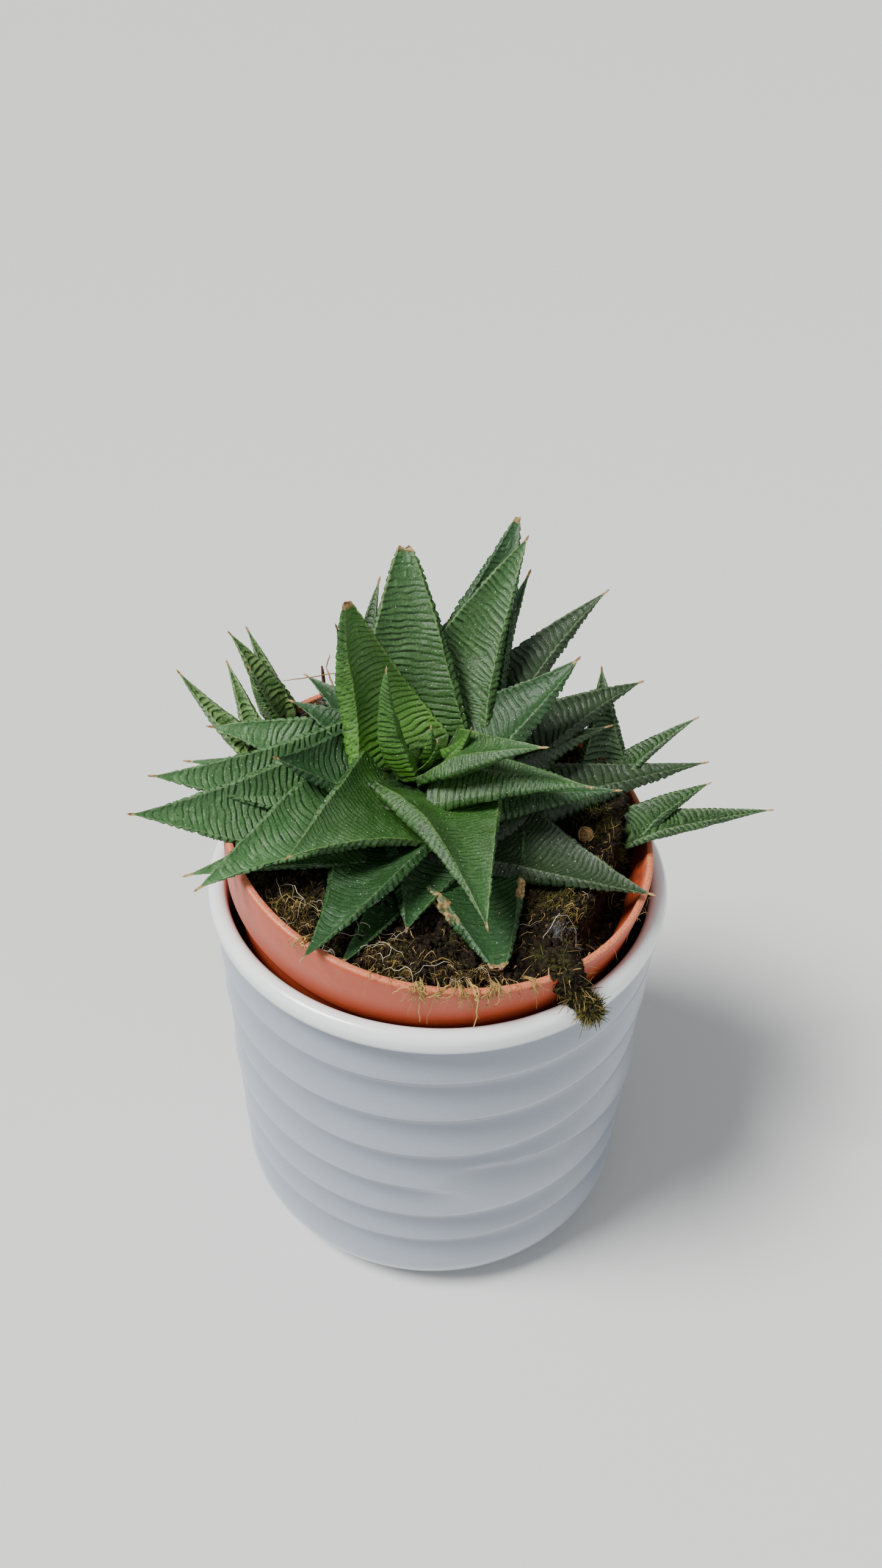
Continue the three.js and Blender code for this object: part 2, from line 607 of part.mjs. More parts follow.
function stemGeometry(grow = 0) {
  const height = STEM.top - STEM.foot + 2 * grow;
  const geometry = new THREE.CylinderGeometry(STEM.topRadius + grow, STEM.footRadius + grow, height, STEM.sides);
  geometry.rotateX(Math.PI / 2);
  geometry.translate(STEM.axis[0], STEM.axis[1], (STEM.top + STEM.foot) / 2);
  return weld(geometry);
}

// ---------------------------------------------------------------- offsets

function offsetLeaves(offset) {
  const foot = new THREE.Vector3(...offset.foot);
  return offset.leaves.map((spec) => {
    const to = new THREE.Vector3(...spec.tip);
    const level = new THREE.Vector3(to.x - foot.x, to.y - foot.y, 0).normalize();
    const from = foot.clone().addScaledVector(level, OFFSET_FOOT.leafOut);
    return { ...spec, keel: OFFSET_FOOT.keel, root: foot.clone().setZ(foot.z - OFFSET_FOOT.rootBelow), from, to };
  });
}

function offsetFootGeometry(offset, grow) {
  const height = OFFSET_FOOT.depth + OFFSET_FOOT.lift + 2 * grow;
  const geometry = new THREE.CylinderGeometry(
    OFFSET_FOOT.radius * 0.8 + grow, OFFSET_FOOT.radius + grow, height, OFFSET_FOOT.sides,
  );
  geometry.rotateX(Math.PI / 2);
  const middle = offset.foot[2] + (OFFSET_FOOT.lift - OFFSET_FOOT.depth) / 2;
  geometry.translate(offset.foot[0], offset.foot[1], middle);
  return weld(geometry);
}

// An offset as one solid, or the room that its neighbours leave round it.
function offsetSolid(offset, leafForm, grow) {
  const focus = new THREE.Vector3(offset.foot[0], offset.foot[1], offset.foot[2] + 60);
  let solid = toSolid(offsetFootGeometry(offset, grow));
  for (const leaf of offsetLeaves(offset)) solid = solid.add(toSolid(leafForm(leaf, focus)));
  return solid;
}

// ---------------------------------------------------------------- assembly

const plant = new THREE.Group();

addMesh(plant, 'cover_pot', coverPotGeometry(), GLAZE);

const leaning = new THREE.Group();
leanMatrix().decompose(leaning.position, leaning.quaternion, leaning.scale);
plant.add(leaning);
addMesh(leaning, 'nursery_pot', nurseryPotGeometry(), TERRACOTTA_PLASTIC);

addMesh(plant, 'stem', stemGeometry(), STEM_GREEN);

// Each leaf gives way to the stem and to the leaves inside it, as nested leaf bases do.
const focus = new THREE.Vector3(...FOCUS);
const YOUNG_LEAVES = 7;
let room = toSolid(stemGeometry(GAP)).add(rimRoom());
ROSETTE.forEach((spec, i) => {
  const leaf = rosetteLeaf(spec);
  const solid = toSolid(leafGeometry(leaf, focus)).subtract(room);
  const name = `leaf_${String(i + 1).padStart(2, '0')}`;
  addMesh(plant, name, toGeometry(solid), i < YOUNG_LEAVES ? LEAF_YOUNG : LEAF_OLD);
  room = room.add(toSolid(leafRoom(leaf, focus)));
});

for (const offset of OFFSETS) {
  const solid = offsetSolid(offset, leafGeometry, 0).subtract(room);
  addMesh(plant, offset.name, toGeometry(solid), OFFSET_GREEN);
  room = room.add(offsetSolid(offset, leafRoom, GAP));
}

addMesh(plant, 'soil', toGeometry(toSolid(soilGeometry()).subtract(room)), PEAT);

export default plant;
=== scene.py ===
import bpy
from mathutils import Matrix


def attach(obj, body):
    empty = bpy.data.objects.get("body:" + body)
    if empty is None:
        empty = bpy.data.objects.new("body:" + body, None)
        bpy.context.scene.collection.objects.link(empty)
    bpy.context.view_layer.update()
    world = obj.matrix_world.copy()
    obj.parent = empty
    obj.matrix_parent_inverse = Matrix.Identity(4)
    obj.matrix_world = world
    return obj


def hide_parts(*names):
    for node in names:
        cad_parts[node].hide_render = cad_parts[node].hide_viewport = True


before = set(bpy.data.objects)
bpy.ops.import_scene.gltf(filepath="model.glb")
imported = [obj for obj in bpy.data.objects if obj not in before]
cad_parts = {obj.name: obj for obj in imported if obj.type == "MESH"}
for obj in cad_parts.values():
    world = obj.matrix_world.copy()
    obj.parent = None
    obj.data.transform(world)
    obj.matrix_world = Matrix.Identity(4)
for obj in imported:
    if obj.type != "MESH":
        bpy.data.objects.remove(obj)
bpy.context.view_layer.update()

"""Potted haworthia: a ridged rosette with offsets, in peat, in a plastic pot inside a glazed cover pot.

Lengths are in millimetres until a mesh is made, which turns them into Blender's metres. The frame is the
CAD model's: +Z up, origin at the middle of the cover pot's underside, the photograph's viewer towards -Y.
"""
import logging
import math
from dataclasses import dataclass, field
from enum import Enum
from itertools import combinations

import bpy
import numpy as np
from mathutils import Matrix, Vector

log = logging.getLogger("potted_haworthia")

Triple = tuple[float, float, float]
Socket = bpy.types.NodeSocket
Input = Socket | Triple | float
Material = bpy.types.Material

MM = 0.001  # a millimetre in metres
BODY = "root"  # the one body that every piece rides on
TINY = 0.01  # radius of a ring that stands in for a point
WORD = 0xFFFFFFFF  # the largest whole number of 32 bits


class Slot(Enum):
    """Names of material slots that are passed along with the pieces but not used."""

    GLAZE = "glaze"
    PLASTIC = "terracotta_plastic"
    PEAT = "peat"
    LEAF_YOUNG = "leaf_young"
    LEAF_OLD = "leaf_old"
    OFFSET = "offset_green"


# ------------------------------------------------------------------ numbers and noise


def smoothstep(low: float, high: float, value: np.ndarray) -> np.ndarray:
    """Smooth step of values, from 0 at low to 1 at high."""
    share = np.clip((value - low) / (high - low), 0.0, 1.0)
    return share * share * (3.0 - 2.0 * share)


def lattice(cells: np.ndarray, seed: int) -> np.ndarray:
    """Random numbers that belong to the corners of a grid.

    Args:
        cells: Whole-number corner positions, shape (..., dimensions).
        seed: Picks one of many such grids.

    Returns:
        Numbers from -1 to 1, one for each corner.
    """
    primes = (374761393, 668265263, 2246822519)
    mixed = np.full(cells.shape[:-1], (seed * 974634777 + 12345) & WORD, dtype=np.uint64)
    for axis in range(cells.shape[-1]):
        corner = (cells[..., axis].astype(np.int64) & WORD).astype(np.uint64)
        mixed = (mixed + corner * primes[axis]) & WORD
        mixed = ((mixed ^ (mixed >> 13)) * 1274126177) & WORD
    return ((mixed ^ (mixed >> 16)) & 0xFFFFFF).astype(float) / 0x7FFFFF - 1.0


def noise(points: np.ndarray, size: float, seed: int) -> np.ndarray:
    """Smooth noise over space.

    Args:
        points: Positions, shape (..., 1 to 3).
        size: Width of the noise's blobs, in the unit of points.
        seed: Picks one of many such noises.

    Returns:
        Numbers between about -1 and 1.
    """
    scaled = points / size
    cell = np.floor(scaled)
    part = scaled - cell
    part = part * part * (3.0 - 2.0 * part)
    dimensions = points.shape[-1]
    total = np.zeros(points.shape[:-1])
    for corner in range(2**dimensions):
        bits = np.array([(corner >> axis) & 1 for axis in range(dimensions)])
        weight = np.prod(np.where(bits == 1, part, 1.0 - part), axis=-1)
        total += weight * lattice(cell + bits, seed)
    return total


def layered(points: np.ndarray, *layers: tuple[float, float, int]) -> np.ndarray:
    """Sum of several noises, each given by its strength, size and seed."""
    return sum(strength * noise(points, size, seed) for strength, size, seed in layers)


def unit(vector: np.ndarray) -> np.ndarray:
    """Scales vectors along the last axis to length 1."""
    return vector / np.maximum(np.linalg.norm(vector, axis=-1, keepdims=True), 1e-12)


def polar(radius: np.ndarray | float, turn: np.ndarray, height: np.ndarray | float) -> np.ndarray:
    """Points from radii, turns in radians and heights, which broadcast together."""
    return np.stack(np.broadcast_arrays(radius * np.cos(turn), radius * np.sin(turn), height), -1)


def around(sides: int) -> np.ndarray:
    """Even turns in radians once round, from the back of the X axis."""
    return np.linspace(-math.pi, math.pi, sides, endpoint=False)


# ------------------------------------------------------------------ meshes


@dataclass
class Patchwork:
    """Vertices, faces and per-vertex numbers of a mesh that is put together from several parts."""

    vertices: list[np.ndarray] = field(default_factory=list)
    faces: list[np.ndarray] = field(default_factory=list)
    values: dict[str, list[np.ndarray]] = field(default_factory=dict)
    count: int = 0

    def add(self, vertices: np.ndarray, *faces: np.ndarray, **values: np.ndarray) -> None:
        """Adds one part.

        Args:
            vertices: Its points, shape (n, 3), in millimetres.
            *faces: Blocks of faces as indices into vertices, each block with its own number of corners.
            **values: Named numbers, one for each vertex.
        """
        self.vertices.append(vertices)
        self.faces += [np.asarray(block) + self.count for block in faces]
        for name, numbers in values.items():
            self.values.setdefault(name, []).append(np.asarray(numbers, float).ravel())
        self.count += len(vertices)

    def skin(self, points: np.ndarray, **values: np.ndarray) -> None:
        """Adds a closed skin over rings of points, with a cap over the first and the last ring.

        Args:
            points: Rings of points, shape (rows, columns, 3), anticlockwise seen from the last ring.
            **values: Named numbers, shape (rows, columns).
        """
        rows, columns = points.shape[:2]
        index = np.arange(rows * columns).reshape(rows, columns)
        right = np.roll(index, -1, axis=1)
        quads = np.stack([index[:-1], right[:-1], right[1:], index[1:]], axis=-1).reshape(-1, 4)
        caps = np.stack([index[0][::-1], index[-1]])
        self.add(points.reshape(-1, 3), quads, caps, **values)

    def build(self, name: str, material: Material, slot: Slot, node: str | None = None) -> None:
        """Makes the Blender object, riding on the part's body.

        Args:
            name: The object's name.
            material: Its finish.
            slot: The material slot that the finish belongs to; not used.
            node: The CAD node that it replaces, if any.
        """
        vertices = np.concatenate(self.vertices) * MM
        corners = np.concatenate([block.ravel() for block in self.faces])
        sizes = np.concatenate([np.full(len(block), block.shape[1]) for block in self.faces])
        mesh = bpy.data.meshes.new(name)
        mesh.vertices.add(len(vertices))
        mesh.vertices.foreach_set("co", vertices.astype(np.float32).ravel())
        mesh.loops.add(len(corners))
        mesh.loops.foreach_set("vertex_index", corners.astype(np.int32))
        mesh.polygons.add(len(sizes))
        mesh.polygons.foreach_set("loop_start", (np.cumsum(sizes) - sizes).astype(np.int32))
        mesh.polygons.foreach_set("use_smooth", np.ones(len(sizes), bool))
        for label, blocks in self.values.items():
            attribute = mesh.attributes.new(label, "FLOAT", "POINT")
            attribute.data.foreach_set("value", np.concatenate(blocks).astype(np.float32))
        mesh.update(calc_edges=True)
        mesh.validate()
        mesh.materials.append(material)
        made = bpy.data.objects.new(name, mesh)
        bpy.context.scene.collection.objects.link(made)
        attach(made, BODY)
        if node is not None:
            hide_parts(node)
        log.info("%s: %d vertices, %d faces", name, len(vertices), len(sizes))


@dataclass
class Strands:
    """Thin strands that become one piece: their paths, their radii at the middle and their tones."""

    paths: list[np.ndarray] = field(default_factory=list)
    radii: list[float] = field(default_factory=list)
    tones: list[float] = field(default_factory=list)

    def add(self, path: np.ndarray, radius: float, tone: float) -> None:
        """Adds one strand.

        Args:
            path: The points that it follows, shape (n, 3).
            radius: Its radius at its middle.
            tone: Its colour, from 0 for its finish's dark one to 1 for the light one.
        """
        self.paths.append(path)
        self.radii.append(radius)
        self.tones.append(tone)

    def build(self, name: str, material: Material, sides: int = 4) -> None:
        """Makes them as tubes that taper to both ends.

        Args:
            name: The piece's name.
            material: Its finish.
            sides: Number of sides of each tube.
        """
        turns = np.arange(sides) * 2.0 * math.pi / sides
        cosines, sines = np.cos(turns)[None, :, None], np.sin(turns)[None, :, None]
        aslant, sideways = np.array([0.31, 0.17, 0.93]), np.array([1.0, 0.1, 0.0])
        end_share = 0.25
        work = Patchwork()
        for path, radius, tone in zip(self.paths, self.radii, self.tones):
            along = unit(np.gradient(path, axis=0))
            across = unit(np.cross(along, aslant if abs(along[0, 2]) < 0.9 else sideways))
            other = np.cross(along, across)
            share = np.clip(np.linspace(0.0, 1.0, len(path)), 0.04, 0.96)
            thick = radius * (end_share + (1 - end_share) * np.sin(math.pi * share) ** 0.5)
            ring = across[:, None] * cosines + other[:, None] * sines
            points = path[:, None] + thick[:, None, None] * ring
            work.skin(points, tone=np.full(points.shape[:2], tone))
        work.build(name, material, Slot.PEAT)


# ------------------------------------------------------------------ materials


class Nodes:
    """A small helper that builds one material's node tree."""

    def __init__(self, name: str) -> None:
        """Starts a material with a Principled shader.

        Args:
            name: The material's name.
        """
        self.material = bpy.data.materials.new(name)
        self.material.use_nodes = True
        self.tree = self.material.node_tree
        self.shader = self.tree.nodes["Principled BSDF"]
        self.place = self.tree.nodes.new("ShaderNodeTexCoord").outputs["Object"]

    def feed(self, target: Socket, source: Input) -> None:
        """Gives a socket its input.

        Args:
            target: The socket.
            source: Another socket that is linked to it, or a plain colour or number.
        """
        if isinstance(source, (int, float)):
            target.default_value = source
        elif isinstance(source, tuple):
            target.default_value = (*source, 1.0) if target.type == "RGBA" else source
        else:
            self.tree.links.new(source, target)

    def node(self, kind: str, output: str | int, **inputs: Input) -> Socket:
        """Adds a node.

        Args:
            kind: Its type, without the common beginning.
            output: Name or number of the output that is used.
            **inputs: What its inputs are fed with, with _ for a space.

        Returns:
            The output's socket.
        """
        made = self.tree.nodes.new("ShaderNode" + kind)
        for name, source in inputs.items():
            self.feed(made.inputs[name.replace("_", " ")], source)
        return made.outputs[output]

    def value(self, name: str) -> Socket:
        """Reads a number kept on the mesh.

        Args:
            name: The number's name.

        Returns:
            The socket that gives it.
        """
        result = self.node("Attribute", "Fac")
        result.node.attribute_name = name
        return result

    def noise(self, size: float, detail: float = 3.0) -> Socket:
        """A noise over the object, about 0.5 on average, with blobs of a size in millimetres."""
        scale = 1.0 / (size * MM)
        return self.node("TexNoise", "Fac", Vector=self.place, Scale=scale, Detail=detail, Roughness=0.55)

    def step(self, source: Socket, low: float, high: float) -> Socket:
        """A smooth step of a number.

        Args:
            source: Socket with the number.
            low: Value that gives 0.
            high: Value that gives 1.

        Returns:
            The socket with the step.
        """
        result = self.node("MapRange", "Result", Value=source, From_Min=low, From_Max=high)
        result.node.interpolation_type = "SMOOTHSTEP"
        return result

    def math(self, operation: str, first: Input, second: Input) -> Socket:
        """One sum of two numbers.

        Args:
            operation: Name of the Math node's operation.
            first: Socket or plain number.
            second: Socket or plain number.

        Returns:
            The socket with the result.
        """
        result = self.node("Math", 0)
        result.node.operation = operation
        self.feed(result.node.inputs[0], first)
        self.feed(result.node.inputs[1], second)
        return result

    def times(self, first: Input, second: Input) -> Socket:
        """The product of two numbers."""
        return self.math("MULTIPLY", first, second)

    def patches(self, size: float, low: float, high: float, detail: float = 3.0) -> Socket:
        """Patches where the noise of a size passes from low, outside them, to high."""
        return self.step(self.noise(size, detail), low, high)

    def specks(self, size: float, radius: float) -> Socket:
        """Small round specks of a radius, about one for each size, both in millimetres."""
        away = self.node("TexVoronoi", "Distance", Vector=self.place, Scale=1.0 / (size * MM))
        return self.step(away, radius / size, 0.6 * radius / size)

    def mix(self, share: Input, first: Input, second: Input, blend: str = "MIX") -> Socket:
        """Mixes two colours.

        Args:
            share: Socket or number that says how much of the second shows.
            first: Socket or colour.
            second: Socket or colour.
            blend: Name of the Mix node's blend type.

        Returns:
            The socket with the colour.
        """
        made = self.tree.nodes.new("ShaderNodeMix")
        made.data_type = "RGBA"
        made.blend_type = blend
        for number, source in ((0, share), (6, first), (7, second)):
            self.feed(made.inputs[number], source)
        return made.outputs[2]

    def darken(self, colour: Socket, share: Input, shade: Triple) -> Socket:
        """Multiplies a colour by a shade where share is 1."""
        return self.mix(share, colour, shade, "MULTIPLY")

    def bump(self, height: Socket, depth: float, before: Socket | None = None) -> Socket:
        """A normal with a bump, whose height of 1 is depth millimetres, laid over the normal before it."""
        over = {} if before is None else {"Normal": before}
        return self.node("Bump", "Normal", Height=height, Strength=1.0, Distance=depth * MM, **over)

    def finish(self, colour: Input, roughness: Input, **inputs: Input) -> Material:
        """Joins everything to the shader.

        Args:
            colour: Socket or colour of the surface.
            roughness: Socket or number.
            **inputs: Further shader inputs, with _ for a space.

        Returns:
            The finished material.
        """
        for name, source in {"Base Color": colour, "Roughness": roughness, **inputs}.items():
            self.feed(self.shader.inputs[name.replace("_", " ")], source)
        return self.material


@dataclass(frozen=True)
class LeafFinish:
    """Fleshy ridged leaf: colours along the blade, crests lighter and grooves darker partly in tint and
    partly as painted highlight and shade, painted shade deep in the heart, margin lines, specks and dry tips.
    """

    name: str
    base: Triple
    middle: Triple
    tip: Triple
    # Lighter green on the ridge crests, partly the leaf's own tint and partly a painted highlight; also the
    # colour of the fine grain.
    crest: Triple
    line: Triple
    crest_tint_and_highlight_share: float = 0.38
    groove_tint_and_shade_share: float = 0.92
    gloss: float = 0.46
    # Colour of the painted shade on the leaf bases deep in the heart.
    shade: Triple = (0.2, 0.24, 0.12)
    blotch: Triple = (0.5, 0.66, 0.45)
    # Darker green in the grooves: partly the leaf's own tint, partly painted shade.
    groove: Triple = (0.1, 0.17, 0.08)
    underside: Triple = (0.62, 0.74, 0.6)
    speck: Triple = (0.5, 0.62, 0.45)
    straw: tuple[Triple, Triple] = ((0.19, 0.1, 0.035), (0.46, 0.34, 0.14))
    scab: tuple[Triple, Triple] = ((0.05, 0.025, 0.02), (0.3, 0.14, 0.1))

    def build(self) -> Material:
        """Makes the material.

        Returns:
            The material.
        """
        nodes = Nodes(self.name)
        shift = nodes.times(nodes.math("SUBTRACT", nodes.noise(9.0), 0.5), 0.22)
        along = nodes.math("ADD", nodes.value("along"), shift)
        colour = nodes.mix(nodes.step(along, 0.0, 0.34), self.base, self.middle)
        colour = nodes.mix(nodes.step(along, 0.35, 1.0), colour, self.tip)
        # Painted shade: the first share of each leaf's length, deep in the heart, is darkened towards the
        # shade colour.
        deep = nodes.step(nodes.value("along"), 0.13, 0.0)
        colour = nodes.darken(colour, nodes.times(deep, 0.88), self.shade)
        colour = nodes.darken(colour, nodes.times(nodes.patches(3.5, 0.35, 0.75, 4.0), 0.25), self.blotch)
        colour = nodes.mix(nodes.times(nodes.patches(0.42, 0.4, 0.66), 0.4), colour, self.crest)
        relief = nodes.value("relief")
        # Grooves darkened: partly the leaf's own tint, partly painted shade in the recesses.
        groove_tint_and_shade = nodes.times(nodes.step(relief, 0.5, 0.06), self.groove_tint_and_shade_share)
        colour = nodes.darken(colour, groove_tint_and_shade, self.groove)
        # Crests lightened: partly the leaf's own tint, partly a painted highlight.
        crest = nodes.times(nodes.step(relief, 0.62, 1.0), self.crest_tint_and_highlight_share)
        colour = nodes.mix(crest, colour, self.crest)
        colour = nodes.darken(colour, nodes.times(nodes.value("under"), 0.25), self.underside)
        line = nodes.times(nodes.value("line"), nodes.patches(0.9, 0.3, 0.6, 2.0))
        colour = nodes.mix(nodes.times(line, 0.6), colour, self.line)
        speck = nodes.times(nodes.specks(1.2, 0.15), nodes.patches(3.0, 0.42, 0.56, 2.0))
        colour = nodes.mix(nodes.times(speck, 0.85), colour, self.speck)
        dry = nodes.value("dry")
        straw = nodes.mix(nodes.patches(0.8, 0.35, 0.65), *self.straw)
        colour = nodes.mix(nodes.step(dry, 0.3, 0.95), colour, straw)
        scab = nodes.mix(nodes.patches(0.6, 0.4, 0.6), *self.scab)
        colour = nodes.mix(nodes.step(dry, 1.05, 1.5), colour, scab)
        roughness = nodes.math("ADD", nodes.times(nodes.noise(0.8), 0.2), self.gloss - 0.1)
        roughness = nodes.math("MAXIMUM", roughness, nodes.times(dry, 0.85))
        normal = nodes.bump(nodes.noise(0.75), 0.14, nodes.bump(nodes.noise(0.3), 0.07))
        return nodes.finish(colour, roughness, Normal=normal, Specular_IOR_Level=0.42)


@dataclass(frozen=True)
class GlazeFinish:
    """Satin pale blue-grey glaze with pinholes; whiter lip and darker wall and creases, partly glaze colour,
    partly painted light and shade.
    """

    # Blue-grey of the wall, kept dark partly to paint the shade on the wall.
    wall: Triple = (0.35, 0.4, 0.47)
    lip: Triple = (0.93, 0.96, 0.97)
    milky: Triple = (0.9, 0.9, 0.95)
    # Tint that darkens the creases: partly glaze pooled in them, partly painted shade.
    crease: Triple = (0.55, 0.58, 0.64)
    pinhole: Triple = (0.12, 0.12, 0.13)

    def build(self) -> Material:
        """Makes the material.

        Returns:
            The material.
        """
        nodes = Nodes("glaze")
        colour = nodes.mix(nodes.noise(14.0, 4.0), self.wall, tuple(0.93 * c for c in self.wall))
        colour = nodes.mix(nodes.times(nodes.noise(0.5, 2.0), 0.10), colour, self.milky)
        # Whiter lip: partly the glaze's own colour, partly a painted light on the top.
        colour = nodes.mix(nodes.value("lip"), colour, self.lip)
        # Creases darkened: partly glaze pooled in them, partly painted shade.
        colour = nodes.darken(colour, nodes.times(nodes.value("crease"), 0.8), self.crease)
        pinhole = nodes.times(nodes.specks(9.0, 0.22), nodes.patches(6.0, 0.5, 0.6, 1.0))
        colour = nodes.mix(nodes.times(pinhole, 0.6), colour, self.pinhole)
        roughness = nodes.math("ADD", nodes.times(nodes.noise(1.2), 0.12), 0.24)
        normal = nodes.bump(nodes.noise(1.1), 0.03)
        return nodes.finish(colour, roughness, Normal=normal, Coat_Weight=0.7, Coat_Roughness=0.12)


@dataclass(frozen=True)
class PlasticFinish:
    """Satin moulded terracotta-coloured plastic, paler at its top edge: partly scuffs, partly a painted light
    on the top edge.
    """

    body: Triple = (0.5, 0.075, 0.024)
    # Paler colour of the top edge: partly scuffs, partly a painted light on the top.
    rim: Triple = (0.68, 0.22, 0.11)
    dust: Triple = (0.6, 0.28, 0.16)
    dirt: Triple = (0.08, 0.045, 0.03)

    def build(self) -> Material:
        """Makes the material.

        Returns:
            The material.
        """
        nodes = Nodes("terracotta_plastic")
        colour = nodes.mix(nodes.noise(11.0, 4.0), self.body, tuple(0.86 * c for c in self.body))
        colour = nodes.mix(nodes.times(nodes.patches(2.2, 0.6, 0.78, 4.0), 0.12), colour, self.dust)
        # Top edge paled in patches: partly scuffs, partly a painted light.
        scuffs_and_top_light = nodes.times(nodes.value("rim"), nodes.patches(0.5, 0.2, 0.6, 4.0))
        colour = nodes.mix(scuffs_and_top_light, colour, self.rim)
        dirt = nodes.times(nodes.value("inside"), nodes.patches(1.8, 0.5, 0.68, 4.0))
        colour = nodes.mix(nodes.times(dirt, 0.5), colour, self.dirt)
        roughness = nodes.math("ADD", nodes.times(nodes.noise(1.5), 0.2), 0.36)
        return nodes.finish(colour, roughness, Normal=nodes.bump(nodes.noise(0.9, 2.0), 0.02))


@dataclass(frozen=True)
class SoilFinish:
    """Dark damp peat with brown and mossy patches, and mouldy spots given by their centre and radius."""

    dark: Triple = (0.008, 0.0065, 0.005)
    brown: Triple = (0.03, 0.019, 0.011)
    tan: Triple = (0.2, 0.12, 0.05)
    mossy: Triple = (0.05, 0.053, 0.012)
    mould: Triple = (0.26, 0.25, 0.26)
    mould_spots: tuple[tuple[Triple, float], ...] = (((26.0, -31.5, 107.0), 3.5), ((-31.0, 33.5, 121.5), 9.0))

    def build(self) -> Material:
        """Makes the material.

        Returns:
            The material.
        """
        nodes = Nodes("peat")
        colour = nodes.mix(nodes.patches(0.9, 0.4, 0.68, 4.0), self.dark, self.brown)
        colour = nodes.mix(nodes.times(nodes.patches(0.55, 0.62, 0.72), 0.3), colour, self.tan)
        moss = nodes.times(nodes.patches(7.0, 0.53, 0.66), nodes.patches(0.7, 0.42, 0.6, 2.0))
        colour = nodes.mix(nodes.times(moss, 0.7), colour, self.mossy)
        for centre, radius in self.mould_spots:
            away = nodes.node("VectorMath", 1)
            away.node.operation = "DISTANCE"
            nodes.feed(away.node.inputs[0], nodes.place)
            nodes.feed(away.node.inputs[1], tuple(c * MM for c in centre))
            near = nodes.step(away, radius * MM, 0.35 * radius * MM)
            fuzzy = nodes.times(near, nodes.patches(0.8, 0.36, 0.62, 4.0))
            colour = nodes.mix(nodes.times(fuzzy, 0.5), colour, self.mould)
        normal = nodes.bump(nodes.noise(0.45, 4.0), 0.35)
        return nodes.finish(colour, 0.9, Normal=normal, Specular_IOR_Level=0.12)


@dataclass(frozen=True)
class FibreFinish:
    """Dry plant fibre whose tone runs from one colour to the other."""

    name: str
    dark: Triple
    light: Triple
    stain: Triple = (0.5, 0.42, 0.32)

    def build(self) -> Material:
        """Makes the material.

        Returns:
            The material.
        """
        nodes = Nodes(self.name)
        colour = nodes.mix(nodes.value("tone"), self.dark, self.light)
        colour = nodes.darken(colour, nodes.times(nodes.noise(1.1), 0.5), self.stain)
        normal = nodes.bump(nodes.noise(0.3, 2.0), 0.03)
        return nodes.finish(colour, 0.75, Normal=normal, Specular_IOR_Level=0.3)


class FibreKind(Enum):
    """The finishes of what lies on the peat."""

    STRAW = FibreFinish("straw", (0.034, 0.017, 0.006), (0.64, 0.44, 0.15))
    ROOT = FibreFinish("pale_root", (0.3, 0.22, 0.12), (0.78, 0.7, 0.52))
    MOSS = FibreFinish("moss", (0.016, 0.018, 0.005), (0.21, 0.19, 0.032))
    MOULD = FibreFinish("mould", (0.12, 0.12, 0.125), (0.36, 0.36, 0.38))
    BARK = FibreFinish("bark", (0.09, 0.03, 0.015), (0.55, 0.36, 0.15))


class LeafKind(Enum):
    """The finishes that the leaves have: colours of base, middle, tip, ridge crests and margin line."""

    HEART = LeafFinish("leaf_heart", (0.066, 0.205, 0.009), (0.041, 0.138, 0.010), (0.038, 0.122, 0.024),
                       (0.12, 0.26, 0.055), (0.2, 0.33, 0.08))
    INNER = LeafFinish("leaf_inner", (0.026, 0.095, 0.004), (0.017, 0.063, 0.007), (0.029, 0.092, 0.022),
                       (0.08, 0.18, 0.055), (0.18, 0.3, 0.09))
    OUTER = LeafFinish("leaf_outer", (0.011, 0.044, 0.006), (0.013, 0.05, 0.01), (0.02, 0.067, 0.019),
                       (0.052, 0.125, 0.045), (0.11, 0.19, 0.075))
    # Darker olive green of the leaves on the right: partly their own colour, partly painted shade on the side
    # turned from the light.
    OLIVE_PAINTED_SHADE = LeafFinish("leaf_olive_painted_shade", (0.009, 0.025, 0.006), (0.013, 0.032, 0.009), (0.022, 0.046, 0.016),
                      (0.048, 0.085, 0.037), (0.12, 0.17, 0.08))
    GREY = LeafFinish("leaf_grey", (0.016, 0.06, 0.010), (0.032, 0.104, 0.024), (0.051, 0.142, 0.043),
                      (0.12, 0.24, 0.09), (0.18, 0.29, 0.13))
    BANDED = LeafFinish("leaf_banded", (0.055, 0.15, 0.016), (0.028, 0.09, 0.015), (0.022, 0.07, 0.015),
                        (0.22, 0.36, 0.11), (0.22, 0.34, 0.12), 0.68, 0.9)
    LINED = LeafFinish("leaf_lined", (0.012, 0.047, 0.007), (0.009, 0.034, 0.006), (0.009, 0.03, 0.007),
                       (0.1, 0.2, 0.07), (0.16, 0.26, 0.1), 0.42, 0.92)


# ------------------------------------------------------------------ leaves


@dataclass(frozen=True)
class LeafShape:
    """Shares and sizes in millimetres that all leaves have in common."""

    channel: float = 0.12
    base_thickness: float = 0.6
    tip_half_width: float = 0.28
    tip_thickness: float = 0.55
    root_width: float = 0.55
    flank_lift: float = 0.3
    flank_fall: float = 0.78
    flank_bulge: float = 0.14
    wide_flank: float = 0.6
    line_height: float = 0.12
    line_width: float = 0.15
    off_line: float = 9.0
    tooth_pitch: float = 2.05
    swell: float = 0.38
    deepen: float = 1.45
    level: float = 0.42
    highest: float = 1.3
    line_columns: tuple[float, ...] = (0.0, 0.17, 0.38, 0.75)
    face_columns: int = 21
    flank_columns: tuple[float, ...] = (0.15, 0.4, 0.65, 0.85, 1.0)
    keel_columns: int = 6


